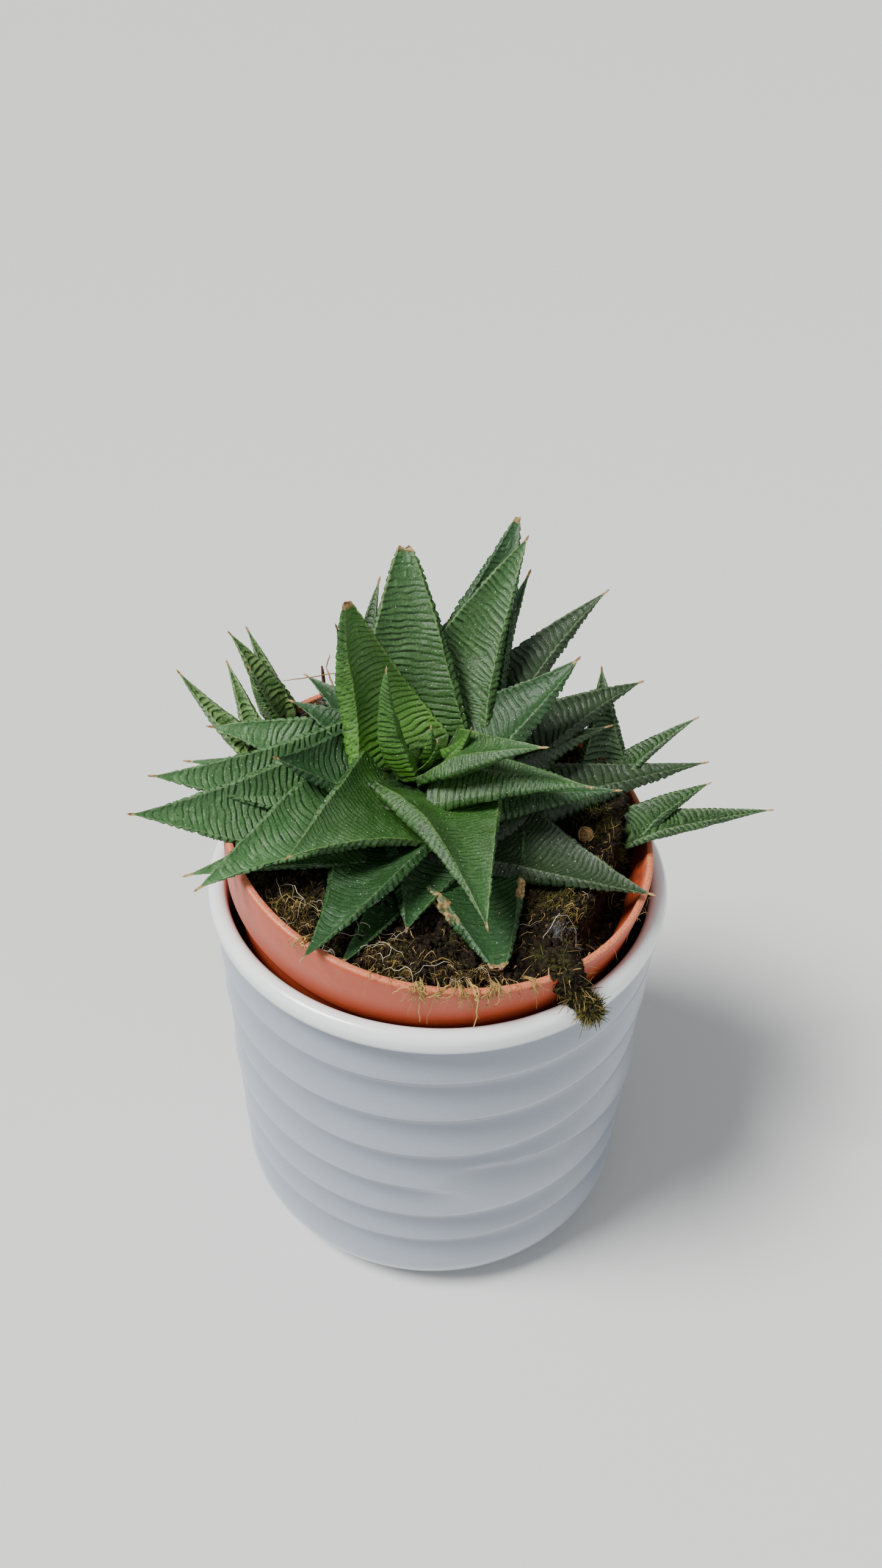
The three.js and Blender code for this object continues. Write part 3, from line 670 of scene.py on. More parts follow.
@dataclass(frozen=True)
class Blade:
    """One leaf: where it grows, where its tip is and how it looks.

    turn, out and base give the middle of its widest place: degrees round the stem, distance from the
    stem's axis and height. bow lifts its middle, sweep bends it sideways, roll twists its face. cut is
    the share of its length where its tip is cut off. A low taper makes it broad up to the tip. flanks
    are the shares of each half, right then left seen from the root, that lie beyond the margin line.
    pitch and ridge are the spacing and depth of the face's ridges, skew slants them, they break up into
    bumps from fade on, and warty is how far they do so before. cup deepens its channel, keel is its keel
    depth in half widths, tooth is how far its teeth stand out, and root_drop is how far its root lies
    below its widest place.
    """

    tip: Triple
    turn: float
    out: float
    base: float
    width: float
    roll: float
    bow: float
    sweep: float
    cut: float = 1.0
    kind: LeafKind = LeafKind.OUTER
    taper: float = 1.1
    flanks: tuple[float, float] = (0.1, 0.1)
    pitch: float = 1.35
    ridge: float = 0.22
    flank_pitch: float = 1.6
    flank_ridge: float = 0.26
    skew: float = 0.0
    fade: float = 0.55
    warty: float = 0.3
    dry_edge: bool = False
    cup: float = 1.4
    keel: float = 0.42
    tooth: float = 0.42
    root_drop: float = 1.5


H, I, D, G = LeafKind.HEART, LeafKind.INNER, LeafKind.OLIVE_PAINTED_SHADE, LeafKind.GREY
ROSETTE = (
    Blade((-2.3, -1.5, 137), -20, 1.8, 126.5, 5.5, 0, -1, 0, kind=H, pitch=1.2, ridge=0.25, taper=0.9,
          tooth=0.2),
    Blade((-1.0, -3.2, 134.5), -75, 2.2, 126, 4.5, 0, -0.8, 0, kind=H, pitch=1.1, tooth=0.2),
    Blade((-11.7, -1, 151), 178, 3.3, 123.5, 11.5, -17, -1, 1.4, kind=H, taper=0.8, flanks=(0.1, 0.8),
          pitch=1.2, flank_pitch=1.35, fade=0.8, keel=0.95, tooth=0.2),
    Blade((6, -2.3, 137.5), -24, 3.2, 126, 8.5, -10, -1.3, -1, kind=H, taper=0.9, flanks=(0.5, 0.1),
          pitch=1.1, flank_pitch=1.1, flank_ridge=0.2, keel=0.7, tooth=0.15),
    Blade((21.2, -11, 139.5), -15, 4, 127.5, 17.5, -10, 2, 1.5, kind=I, taper=1.0, flanks=(0.55, 0.08),
          pitch=1.0, ridge=0.12, flank_pitch=1.35, flank_ridge=0.22, keel=0.7, tooth=0.15),
    Blade((-20.4, 7.5, 163), 150, 6, 124.5, 24, 40, -6, 0.5, cut=0.95, kind=H, taper=0.85,
          flanks=(0.06, 0.42), pitch=1.4, ridge=0.28, flank_pitch=1.8, flank_ridge=0.2, fade=0.85,
          warty=0.1, tooth=0.28, root_drop=6.0),
    Blade((31.4, -12.3, 130.5), -15, 5, 122.5, 24, 6, 1, 0.2, kind=I, flanks=(0.8, 0.08), pitch=1.0,
          ridge=0.12, flank_pitch=1.4, flank_ridge=0.24, tooth=0.18),
    Blade((9.7, -43.2, 119.5), -65, 6.5, 122, 31, 12, 2.8, 0.1, kind=I, flanks=(0.3, 0.07), pitch=0.95,
          ridge=0.21, flank_pitch=1.5, flank_ridge=0.24, fade=0.8, warty=0.1, tooth=0.18),
    Blade((-9.6, 35, 163), 118, 8.5, 124.3, 29.2, 1, 2, 0.3, cut=0.95, kind=I, taper=0.78,
          flanks=(0.14, 0.08), pitch=1.5, ridge=0.3, fade=0.8),
    Blade((-30.5, -27.2, 122), -133, 7.6, 119.5, 29, 30, 2, 0.6, kind=I, flanks=(0.12, 0.16), pitch=1.0,
          ridge=0.21, fade=0.8, warty=0.1, skew=-0.25, tooth=0.15),
    Blade((18, 38, 162), 85, 9.5, 123, 28, -18, -0.5, -1, kind=I, taper=0.95, flanks=(0.16, 0.06),
          pitch=1.45, ridge=0.35, fade=0.95, warty=0.1, skew=0.35),
    Blade((30, 19, 142.5), 45, 9, 123.5, 25, -18, -0.5, 1, taper=1.0, flanks=(0.35, 0.08), pitch=1.5,
          ridge=0.28, fade=0.6, warty=0.15, skew=0.3),
    Blade((-34.8, -8.2, 133), 172, 9.8, 123.5, 26, 28, -2.4, 0, flanks=(0.14, 0.34), pitch=1.5, ridge=0.26,
          fade=0.6, warty=0.15),
    Blade((38.9, -3.4, 123), -2, 6.5, 115.5, 23, -4, 0.5, 0, flanks=(0.6, 0.1), pitch=1.3, flank_ridge=0.34),
    Blade((-34.5, 16.1, 131), 145, 7.1, 120, 20, 15, 1.6, 0.9, fade=0.2),
    Blade((16.7, 49.2, 163.5), 84, 11, 118, 30, -20, 2.5, 0.8, cut=0.97, taper=0.95, flanks=(0.12, 0.18),
          pitch=1.5, ridge=0.3, fade=0.8),
    Blade((39.1, 19, 124.5), 38, 9, 117, 21, -6, 0.5, 0, kind=D, flanks=(0.55, 0.1), warty=0.8, ridge=0.28),
    Blade((-6.2, -34, 109), -78, 9.7, 112.5, 25, 18, -1.5, 0.1, flanks=(0.36, 0.1), pitch=1.3, fade=0.45),
    Blade((45.9, -21.3, 109), -14, 9, 112, 29.5, -15, 0, 1, kind=D, flanks=(0.3, 0.08), pitch=1.25,
          ridge=0.2, flank_ridge=0.3, fade=0.95, warty=0.05, skew=0.3),
    Blade((-48, -34.2, 119), -167, 10.3, 117.5, 29, 18, 1.5, 1, kind=G, pitch=1.5, ridge=0.28, warty=0.4,
          fade=0.7),
    Blade((-63.5, -19.6, 126), -171, 13, 116, 35, 38, -1, -0.8, kind=G, pitch=1.45, ridge=0.31, warty=0.12,
          fade=0.72),
    Blade((37.7, 40.2, 148), 62, 11, 116, 27, -11, 1.3, -1.8, kind=D, flanks=(0.38, 0.08), pitch=1.7,
          ridge=0.34, flank_ridge=0.36, skew=0.35, fade=0.9, warty=0.1),
    Blade((61.5, 14.5, 118), 11, 9, 111.5, 27, -9, -1, -1, kind=D, flanks=(0.5, 0.08), pitch=1.9, ridge=0.3,
          flank_pitch=1.8, flank_ridge=0.4, fade=0.85, warty=0.1),
    Blade((-25.8, -48.2, 114.6), -128, 11.2, 112, 27.5, -14, -0.4, -1.4, flanks=(0.12, 0.2), pitch=1.45,
          ridge=0.28, fade=0.85),
    Blade((-60.8, -10.5, 129), 163, 12.5, 118.5, 30, 30, 0, -0.6, kind=G, pitch=1.5, ridge=0.3, warty=0.12,
          fade=0.75),
    Blade((13, -43.8, 106.2), -48, 13.5, 108.5, 30, 2, -1, -0.9, cut=0.93, taper=0.9, flanks=(0.2, 0.12),
          pitch=1.3, ridge=0.14, dry_edge=True, warty=0.1),
    Blade((47, 30.4, 129.5), 34, 11, 112, 27, -26, 3.4, -1.4, kind=D, flanks=(0.4, 0.08), pitch=1.7,
          ridge=0.36, flank_ridge=0.36, fade=0.95, warty=0.1, skew=0.35),
    Blade((-52.5, 10.8, 127), 146, 12, 117, 27, 28, 1, 1.4, kind=G, pitch=1.5, ridge=0.27, warty=0.4,
          fade=0.7),
    Blade((19.7, 45, 150), 72, 13, 111, 20, -10, 1.2, 0, flanks=(0.2, 0.2)),
    Blade((-32.7, 30.1, 129), 126, 10.5, 115.5, 20, 8, 2, 1, warty=0.7),
    Blade((31.7, 3, 112.5), -8, 9.5, 106.5, 20, -14, 0.6, 0, kind=D),
    Blade((-56.3, 1.6, 124), 177, 13, 113.5, 21, 12, 2.4, 0.3, kind=G),
    Blade((-51.5, -28, 117), -148, 12, 111.5, 21, 22, 1.6, -0.5, kind=G),
    Blade((-9, 49, 132), 100, 12, 112, 22, 0, 2, 0),
    Blade((-41.8, -25.9, 116), -138, 13, 108.5, 18, 12, 1.4, 0, pitch=1.6, ridge=0.28),
    Blade((10, 47, 126), 84, 13, 107, 22, 0, 2, 0),
    Blade((-18.6, -43.9, 109.4), -101, 18, 108, 11, 8, -0.5, -0.4, taper=0.85, fade=0.1),
)


@dataclass(frozen=True)
class Stem:
    """The rosette's stem, and the point that the leaves' upper faces are turned to."""

    axis: tuple[float, float] = (-4.0, 1.0)
    foot: float = 90.0
    top: float = 124.0
    foot_radius: float = 5.2
    top_radius: float = 1.9
    focus: Triple = (-4.0, 2.0, 185.0)

    def on_ray(self, turn: float, radius: float, height: float) -> np.ndarray:
        """The point at a turn in degrees round the stem, a distance from its axis and a height."""
        x, y = polar(radius, np.radians(turn), height)[:2]
        return np.array([self.axis[0] + x, self.axis[1] + y, height])

    def radius_at(self, height: float) -> float:
        """The stem's radius at a height."""
        rise = min(max((self.top - height) / (self.top - self.foot), 0.0), 1.0)
        return self.top_radius + (self.foot_radius - self.top_radius) * rise


@dataclass
class LeafGrid:
    """Rows by columns of numbers over a leaf's skin.

    x and y are the places across and up, across is the share of the face's half width, line and beyond
    are the distances from the margin line on both sides of it and outside it, under is 1 on the
    underside, hand is the side (1 right, -1 left) and edge is 1 on the rim that bears the teeth.
    """

    x: np.ndarray
    y: np.ndarray
    across: np.ndarray
    line: np.ndarray
    beyond: np.ndarray
    under: np.ndarray
    hand: np.ndarray
    edge: np.ndarray


def ridge_profile(phase: np.ndarray) -> np.ndarray:
    """Height of a ridge over its pitch: a narrow groove, a steep rise and a slow fall to the tip's side.

    Args:
        phase: Position in pitches.

    Returns:
        Heights from 0 to 1.
    """
    part = phase - np.floor(phase)
    rise = smoothstep(0.0, 0.24, part)
    fall = 1 - 0.5 * np.clip((part - 0.2) / 0.8, 0, 1) ** 1.3
    return rise * fall * (1 - smoothstep(0.86, 1.0, part))


class LeafForm:
    """A leaf's fine surface: a broad pointed blade with margin lines, flanks, a keel, ridges and teeth."""

    def __init__(self, blade: Blade, root: np.ndarray, start: np.ndarray, focus: np.ndarray,
                 seed: int) -> None:
        """Sets up the leaf's frame.

        Args:
            blade: Its sizes and look.
            root: Where it leaves the stem or foot.
            start: Middle of its widest place.
            focus: Point that its upper face is turned to.
            seed: Seed of its ridges and teeth.
        """
        self.blade, self.root, self.start, self.seed = blade, root, start, seed
        self.end = np.array(blade.tip, float)
        self.shape = LeafShape()
        chord = self.end - start
        self.length = float(np.linalg.norm(chord))
        along = chord / self.length
        up = focus - start
        up = unit(up - along * up.dot(along))
        side = np.cross(along, up)
        roll = math.radians(blade.roll)
        self.side = side * math.cos(roll) + up * math.sin(roll)
        self.up = up * math.cos(roll) - side * math.sin(roll)

    def noise(self, points: np.ndarray, size: float, number: int) -> np.ndarray:
        """The leaf's own noise of a size, one of many by number."""
        return noise(points, size, self.seed + number)

    def midrib(self, share: np.ndarray) -> tuple[np.ndarray, np.ndarray]:
        """Points and directions of the curve along the middle of the face.

        Args:
            share: Shares of the length.

        Returns:
            The points and the unit tangents.
        """
        blade = self.blade
        control = (self.start + self.end) / 2 + 2 * blade.bow * self.up + 2 * blade.sweep * self.side
        s = share[:, None]
        points = (1 - s) ** 2 * self.start + 2 * s * (1 - s) * control + s**2 * self.end
        tangents = 2 * (1 - s) * (control - self.start) + 2 * s * (self.end - control)
        return points, unit(tangents)

    def sizes(self, share: np.ndarray) -> tuple[np.ndarray, np.ndarray]:
        """Half width and keel depth along the leaf.

        Args:
            share: Shares of the length.

        Returns:
            Half widths and keel depths.
        """
        shape, blade = self.shape, self.blade
        half = np.maximum(blade.width / 2 * (1 - np.minimum(share, 1)) ** blade.taper, shape.tip_half_width)
        full = shape.base_thickness + (1 - shape.base_thickness) * smoothstep(0.0, 0.3, share)
        keel = np.maximum(blade.keel * full * half, shape.tip_thickness * (1 - 0.4 * share))
        return half, keel

    def section(self, along: np.ndarray, half: np.ndarray, keel: np.ndarray) -> LeafGrid:
        """The leaf's smooth section at every row: face, flank, underside, keel and back round.

        Args:
            along: Shares of the length.
            half: Half widths.
            keel: Keel depths.

        Returns:
            The grid of places across (x) and up (y), and what part of the leaf each point is on.
        """
        shape = self.shape
        channel = shape.channel * self.blade.cup
        h = half[:, None]
        grown = (0.35 + 0.65 * smoothstep(0.0, 0.42, along))[:, None]
        shares = [share * (grown if share < shape.wide_flank else 1.0) for share in self.blade.flanks]
        lifts = [h * (channel + shape.flank_lift * share) for share in shares]
        falls = [lift - shape.flank_fall * h * share for lift, share in zip(lifts, shares)]
        line_right, line_left = h * (1 - shares[0]), -h * (1 - shares[1])
        middle, reach = (line_right + line_left) / 2, (line_right - line_left) / 2
        near = np.array(shape.line_columns)[None]
        near = np.minimum(near, reach * 0.09 * np.arange(near.shape[1])[None])
        outer = 1 - near / reach
        inner = np.linspace(-1, 1, shape.face_columns + 2)[1:-1][None] * outer[:, -1:]
        t = np.concatenate([-outer, inner, outer[:, ::-1]], axis=1)
        face_y = np.where(t > 0, *lifts) * np.abs(t) ** 2.2
        face = (middle + reach * t, face_y, t, (1 - np.abs(t)) * reach, 0, 0, np.sign(t), 0)

        q = np.array(shape.flank_columns)[None]
        u = np.linspace(0, 1, shape.keel_columns + 2)[None, 1:-1]
        deep = np.maximum(keel[:, None], 0.06 * h - np.minimum(*falls))
        sides = []
        for hand, share, lift, low in zip((1, -1), shares, lifts, falls):
            wide = h * share * math.hypot(1, shape.flank_fall)
            bulge = shape.flank_bulge * h * share * np.sin(math.pi * q)
            flank_y = lift - shape.flank_fall * h * share * q + bulge
            flank_x = hand * (h * (1 - share) + h * share * q)
            sides.append((flank_x, flank_y, hand, wide * q, wide * q, 0.4 * q**2, hand, q**3))
            under_y = low + (-deep - low) * u - 0.1 * h * np.sin(math.pi * u)
            sides.append((hand * h * (1 - u), under_y, hand, shape.off_line, wide + 1.1 * h * u,
                          0.5 + 0.5 * np.minimum(3 * u, 1), hand, np.maximum(1 - 5 * u, 0)))
        keel_line = (0 * h, -deep, 0, shape.off_line, 1.1 * h, 1, 0, 0)
        order = (face, sides[0], sides[1], keel_line, sides[3], sides[2])
        blocks = [np.stack(np.broadcast_arrays(*block)) for block in order]
        blocks[4:] = [block[..., ::-1] for block in blocks[4:]]
        return LeafGrid(*np.concatenate(blocks, axis=-1))

    def face_relief(self, s_mm: np.ndarray, grid: LeafGrid, share: np.ndarray) -> np.ndarray:
        """Relief of the upper face: waved ridges that break up into bumps towards the tip.

        Args:
            s_mm: Distance along the leaf at every point.
            grid: The section's grid.
            share: Share of the length at every point.

        Returns:
            Heights from 0 to about 1.
        """
        blade, level = self.blade, self.shape.level
        plane = np.stack([s_mm, grid.x], axis=-1)
        size = min(blade.pitch * 3.0, 4.5)
        wobble = layered(plane, (0.42, size, self.seed), (0.24, size * 0.42, self.seed + 1))
        phase = (s_mm + blade.skew * grid.x) / blade.pitch + wobble + 0.45 * grid.across**2
        uneven = 0.85 + 0.5 * self.noise(plane, 2.8, 2)
        gaps = smoothstep(-0.5, 0.05, self.noise(plane * np.array([0.7, 1.0]), 1.3, 3))
        late = smoothstep(blade.fade - 0.25, blade.fade + 0.25, share)
        broken = np.clip(blade.warty + late * 0.8, 0, 1) * smoothstep(0.1, 0.4, share)
        strength = uneven * (1 - broken * (1 - gaps)) * (1 - 0.6 * late)
        bumps = smoothstep(0.3, 0.7, self.noise(plane, 1.05, 4)) * (0.25 + 0.75 * late) * 0.5
        return np.clip(level + (ridge_profile(phase) - level) * strength + bumps, 0, self.shape.highest)

    def flank_relief(self, s_mm: np.ndarray, grid: LeafGrid) -> np.ndarray:
        """Relief of the flanks and underside: bold ridges that slant to the tip as they leave the margin.

        Args:
            s_mm: Distance along the leaf at every point.
            grid: The section's grid.

        Returns:
            Heights from 0 to about 1.
        """
        plane = np.stack([s_mm, grid.beyond * grid.hand + 60 * grid.hand], axis=-1)
        wobble = layered(plane, (0.35, 3.2, self.seed + 6), (0.2, 1.4, self.seed + 7))
        slant = 0.85 * np.minimum(grid.beyond, 4.0)
        phase = (s_mm - slant) / self.blade.flank_pitch + wobble + 0.37 * grid.hand
        uneven = 0.85 + 0.45 * self.noise(plane, 2.3, 8)
        return np.clip(ridge_profile(phase) * uneven, 0, self.shape.highest)

    def dryness(self, s_mm: np.ndarray, grid: LeafGrid, share: np.ndarray) -> np.ndarray:
        """Where the leaf is dry: at its tip, and on some leaves along a margin.

        Args:
            s_mm: Distance along the leaf at every point.
            grid: The section's grid.
            share: Share of the length at every point.

        Returns:
            Numbers from 0 to 1.
        """
        blade = self.blade
        plane = np.stack([s_mm, grid.x + 30 * grid.under], axis=-1)
        left = (blade.cut - share) * self.length
        dry_from = min(1.9, 0.055 * self.length) if blade.cut == 1.0 else 1.5
        dry = smoothstep(dry_from, dry_from * 0.55, left + 0.6 * self.noise(plane, 0.9, 9))
        if blade.dry_edge:
            border = 0.93 + 0.14 * self.noise(plane, 2.4, 10)
            band = smoothstep(0.14, 0.22, share) * smoothstep(0.66, 0.5, share)
            band = band * (0.62 + 0.6 * self.noise(plane, 1.7, 18))
            beside = grid.across + 0.15 * grid.edge
            dry = np.maximum(dry, smoothstep(border, border + 0.05, beside) * band)
            far = smoothstep(0.9, 0.96, -grid.across + 0.12 * self.noise(plane, 1.6, 11))
            dry = np.maximum(dry, far * smoothstep(0.28, 0.34, share) * smoothstep(0.5, 0.42, share))
        return dry

    def add_to(self, work: Patchwork) -> None:
        """Adds the leaf to a mesh.

        Args:
            work: The mesh.
        """
        blade, shape = self.blade, self.shape
        step = min(max(blade.pitch / 8.0, 0.12), 0.2)
        rows = max(24, int(self.length * blade.cut / step))
        share = np.linspace(0.0, blade.cut, rows)
        centre, tangent = self.midrib(share)
        half, keel = self.sizes(share)
        across = unit(self.side - tangent * (tangent @ self.side)[:, None])
        normal = np.cross(across, tangent)
        grid = self.section(share, half, keel)
        points = centre[:, None] + across[:, None] * grid.x[..., None] + normal[:, None] * grid.y[..., None]
        around_it = np.roll(points, -1, axis=1) - np.roll(points, 1, axis=1)
        outward = unit(np.cross(around_it, np.gradient(points, axis=0)))

        share_at = np.broadcast_to(share[:, None], grid.x.shape)
        s_mm = share_at * self.length
        on_face = (grid.beyond <= 0) & (grid.under <= 0)
        relief = np.where(on_face, self.face_relief(s_mm, grid, share_at), self.flank_relief(s_mm, grid))
        line = np.exp(-((grid.line / shape.line_width) ** 2))
        calm = smoothstep(0.0, 3.0, (1 - share_at) * self.length) * np.minimum(1, half[:, None] / 2.5)
        depth = np.where(on_face, blade.ridge, blade.flank_ridge) * shape.deepen
        plane = np.stack([s_mm, grid.x + 50 * grid.under], axis=-1)
        swell = shape.swell * self.noise(plane, 6.5, 12) * np.minimum(1, half[:, None] / 6)
        height = (relief - shape.level) * depth * calm * (1 - line) + swell + shape.line_height * line * calm
        tooth_phase = s_mm / shape.tooth_pitch + 0.5 * self.noise(s_mm[..., None], 4.0, 13) + 0.4 * grid.hand
        bite = 0.75 + 0.6 * self.noise(s_mm[..., None] + 40 * grid.hand[..., None], 2.6, 17)
        tooth = (ridge_profile(tooth_phase) - 0.35) * grid.edge * calm * blade.tooth * bite
        sideways = 0.16 * self.noise(np.stack([s_mm, 8.0 * grid.hand], -1), 1.6, 14) * line * calm
        points = points + outward * height[..., None]
        points = points + across[:, None] * ((tooth + sideways) * grid.hand)[..., None]
        dry = self.dryness(s_mm, grid, share_at)
        if blade.cut < 1:
            left = (blade.cut - share_at) * self.length
            ragged = 0.5 * self.noise(points, 0.7, 15) * smoothstep(1.2, 0.0, left)
            points = points + tangent[:, None] * ragged[..., None]

        root_row = self.root + (points[0] - centre[0]) * shape.root_width
        ends, tone = self.tip_rows(points[-1], tangent[-1])
        points = np.concatenate([root_row[None], points, ends])
        along = np.concatenate([[0.0], share, [1.0, 1.0]])[:, None] * np.ones(points.shape[1])
        flat = np.ones((2, points.shape[1]))
        skin = {"relief": (relief, 0.5), "under": (grid.under, 0), "line": (line, 0), "dry": (dry, tone)}
        values = {name: np.concatenate([value[:1], value, end * flat]) for name, (value, end) in skin.items()}
        work.skin(points, along=along, **values)

    def tip_rows(self, ring: np.ndarray, forward: np.ndarray) -> tuple[np.ndarray, np.ndarray]:
        """Closes the tip: a short point, or a ragged sunken scab where the leaf is cut.

        Args:
            ring: The last row of the blade.
            forward: Direction of the leaf at its tip.

        Returns:
            Two more rows, and how dry each of them is.
        """
        middle = ring.mean(axis=0)
        inner = middle + (ring - middle) * 0.72
        if self.blade.cut < 1:
            inner = inner + forward * (0.45 * self.noise(inner, 0.5, 16)[:, None] - 0.1)
            peak = middle - forward * 0.5
            tone = np.array([[1.6], [1.8]])
        else:
            inner = inner + forward * 0.3
            peak = middle + forward * 0.75
            tone = np.ones((2, 1))
        return np.stack([inner, peak + (inner - middle) * 0.05]), tone


@dataclass(frozen=True)
class Rosette:
    """All leaves of the mother plant, round their stem. The first few of them are the young ones."""

    stem: Stem
    finishes: dict[LeafKind, Material]
    young: int = 7

    def build(self) -> None:
        """Makes one piece for each leaf."""
        focus = np.array(self.stem.focus)
        for number, blade in enumerate(ROSETTE, start=1):
            start = self.stem.on_ray(blade.turn, blade.out, blade.base)
            root_out = min(self.stem.radius_at(blade.base) + 0.3, blade.out - 0.8)
            root = self.stem.on_ray(blade.turn, root_out, min(blade.base, self.stem.top) - blade.root_drop)
            work = Patchwork()
            LeafForm(blade, root, start, focus, seed=100 + 20 * number).add_to(work)
            node = f"leaf_{number:02d}"
            slot = Slot.LEAF_YOUNG if number <= self.young else Slot.LEAF_OLD
            work.build(f"{node}_ridged", self.finishes[blade.kind], slot, node)


@dataclass(frozen=True)
class OffsetLeaf:
    """One leaf of an offset."""

    tip: Triple
    width: float
    bow: float
    pitch: float = 1.25


@dataclass(frozen=True)
class Offset:
    """A young plant beside the mother plant: a short foot and its leaves."""

    name: str
    foot: Triple
    leaves: tuple[OffsetLeaf, ...]
    kind: LeafKind = LeafKind.LINED
    leaf_out: float = 1.5
    root_below: float = 3.5
    focus_height: float = 60.0

    def build(self, finishes: dict[LeafKind, Material], seed: int) -> None:
        """Makes the offset as one piece.

        Args:
            finishes: The leaf materials.
            seed: Seed of its leaves.
        """
        work = Patchwork()
        foot = np.array(self.foot)
        root, focus = foot - (0, 0, self.root_below), foot + (0, 0, self.focus_height)
        for number, leaf in enumerate(self.leaves):
            start = foot + unit((np.array(leaf.tip) - foot) * (1, 1, 0)) * self.leaf_out
            blade = Blade(
                leaf.tip, 0, 0, 0, leaf.width, 0, leaf.bow, 0, taper=0.95, flanks=(0.3, 0.3),
                pitch=leaf.pitch, ridge=0.26, flank_pitch=leaf.pitch, flank_ridge=0.27, fade=1.2, warty=0.0,
                cup=0.6, keel=0.7, tooth=0.2,
            )
            LeafForm(blade, root, start, focus, seed + 20 * number).add_to(work)
        work.build(f"{self.name}_ridged", finishes[self.kind], Slot.OFFSET, self.name)


OFFSETS = (
    Offset("offset_left", (-40.5, 9.5, 120.5), (
        OffsetLeaf((-61.6, 25.5, 132.0), 9.5, -1.2, 1.6),
        OffsetLeaf((-50.3, 26.9, 134.0), 7, 1, 1.4),
    ), LeafKind.BANDED),
    Offset("offset_left_back", (-36.5, 22.5, 121.5), (
        OffsetLeaf((-49.7, 30.0, 140.0), 12, 1.5, 1.6),
        OffsetLeaf((-46.7, 35.8, 138.0), 7, 1, 1.4),
        OffsetLeaf((-43.9, 20.5, 137.0), 11, -0.8, 1.2),
    ), LeafKind.BANDED),
    Offset("offset_back", (-21, 34.5, 119), (
        OffsetLeaf((-25.9, 39.0, 137.3), 10, 1),
        OffsetLeaf((-16.1, 50.0, 144.4), 9, 2),
        OffsetLeaf((-8, 47, 130), 8, 1.5),
    )),
    Offset("offset_right_back", (38.5, 16, 111.5), (
        OffsetLeaf((37.8, 35.0, 130.0), 13, 1.5),
        OffsetLeaf((59.1, 21.0, 126.0), 10, 1),
    )),
    Offset("offset_right", (41.5, -1, 110.5), (
        OffsetLeaf((60.9, 6.6, 118.0), 11, 0.8),
        OffsetLeaf((73.1, -2.5, 118.0), 12, 0.5),
    )),
)


# ------------------------------------------------------------------ cover pot


class Fade(Enum):
    """Where round the wall a crease fades out: nowhere, beside the dune or on it."""

    NOWHERE = 0
    BESIDE_DUNE = 1
    ON_DUNE = 2


@dataclass(frozen=True)
class Crease:
    """A soft crease round the glazed wall: its height, how it swings and waves round, and where it fades."""

    height: float
    swing: float = 0.0
    wave: float = 0.0
    high: float = 0.0
    slope: float = 0.0
    fade: Fade = Fade.NOWHERE


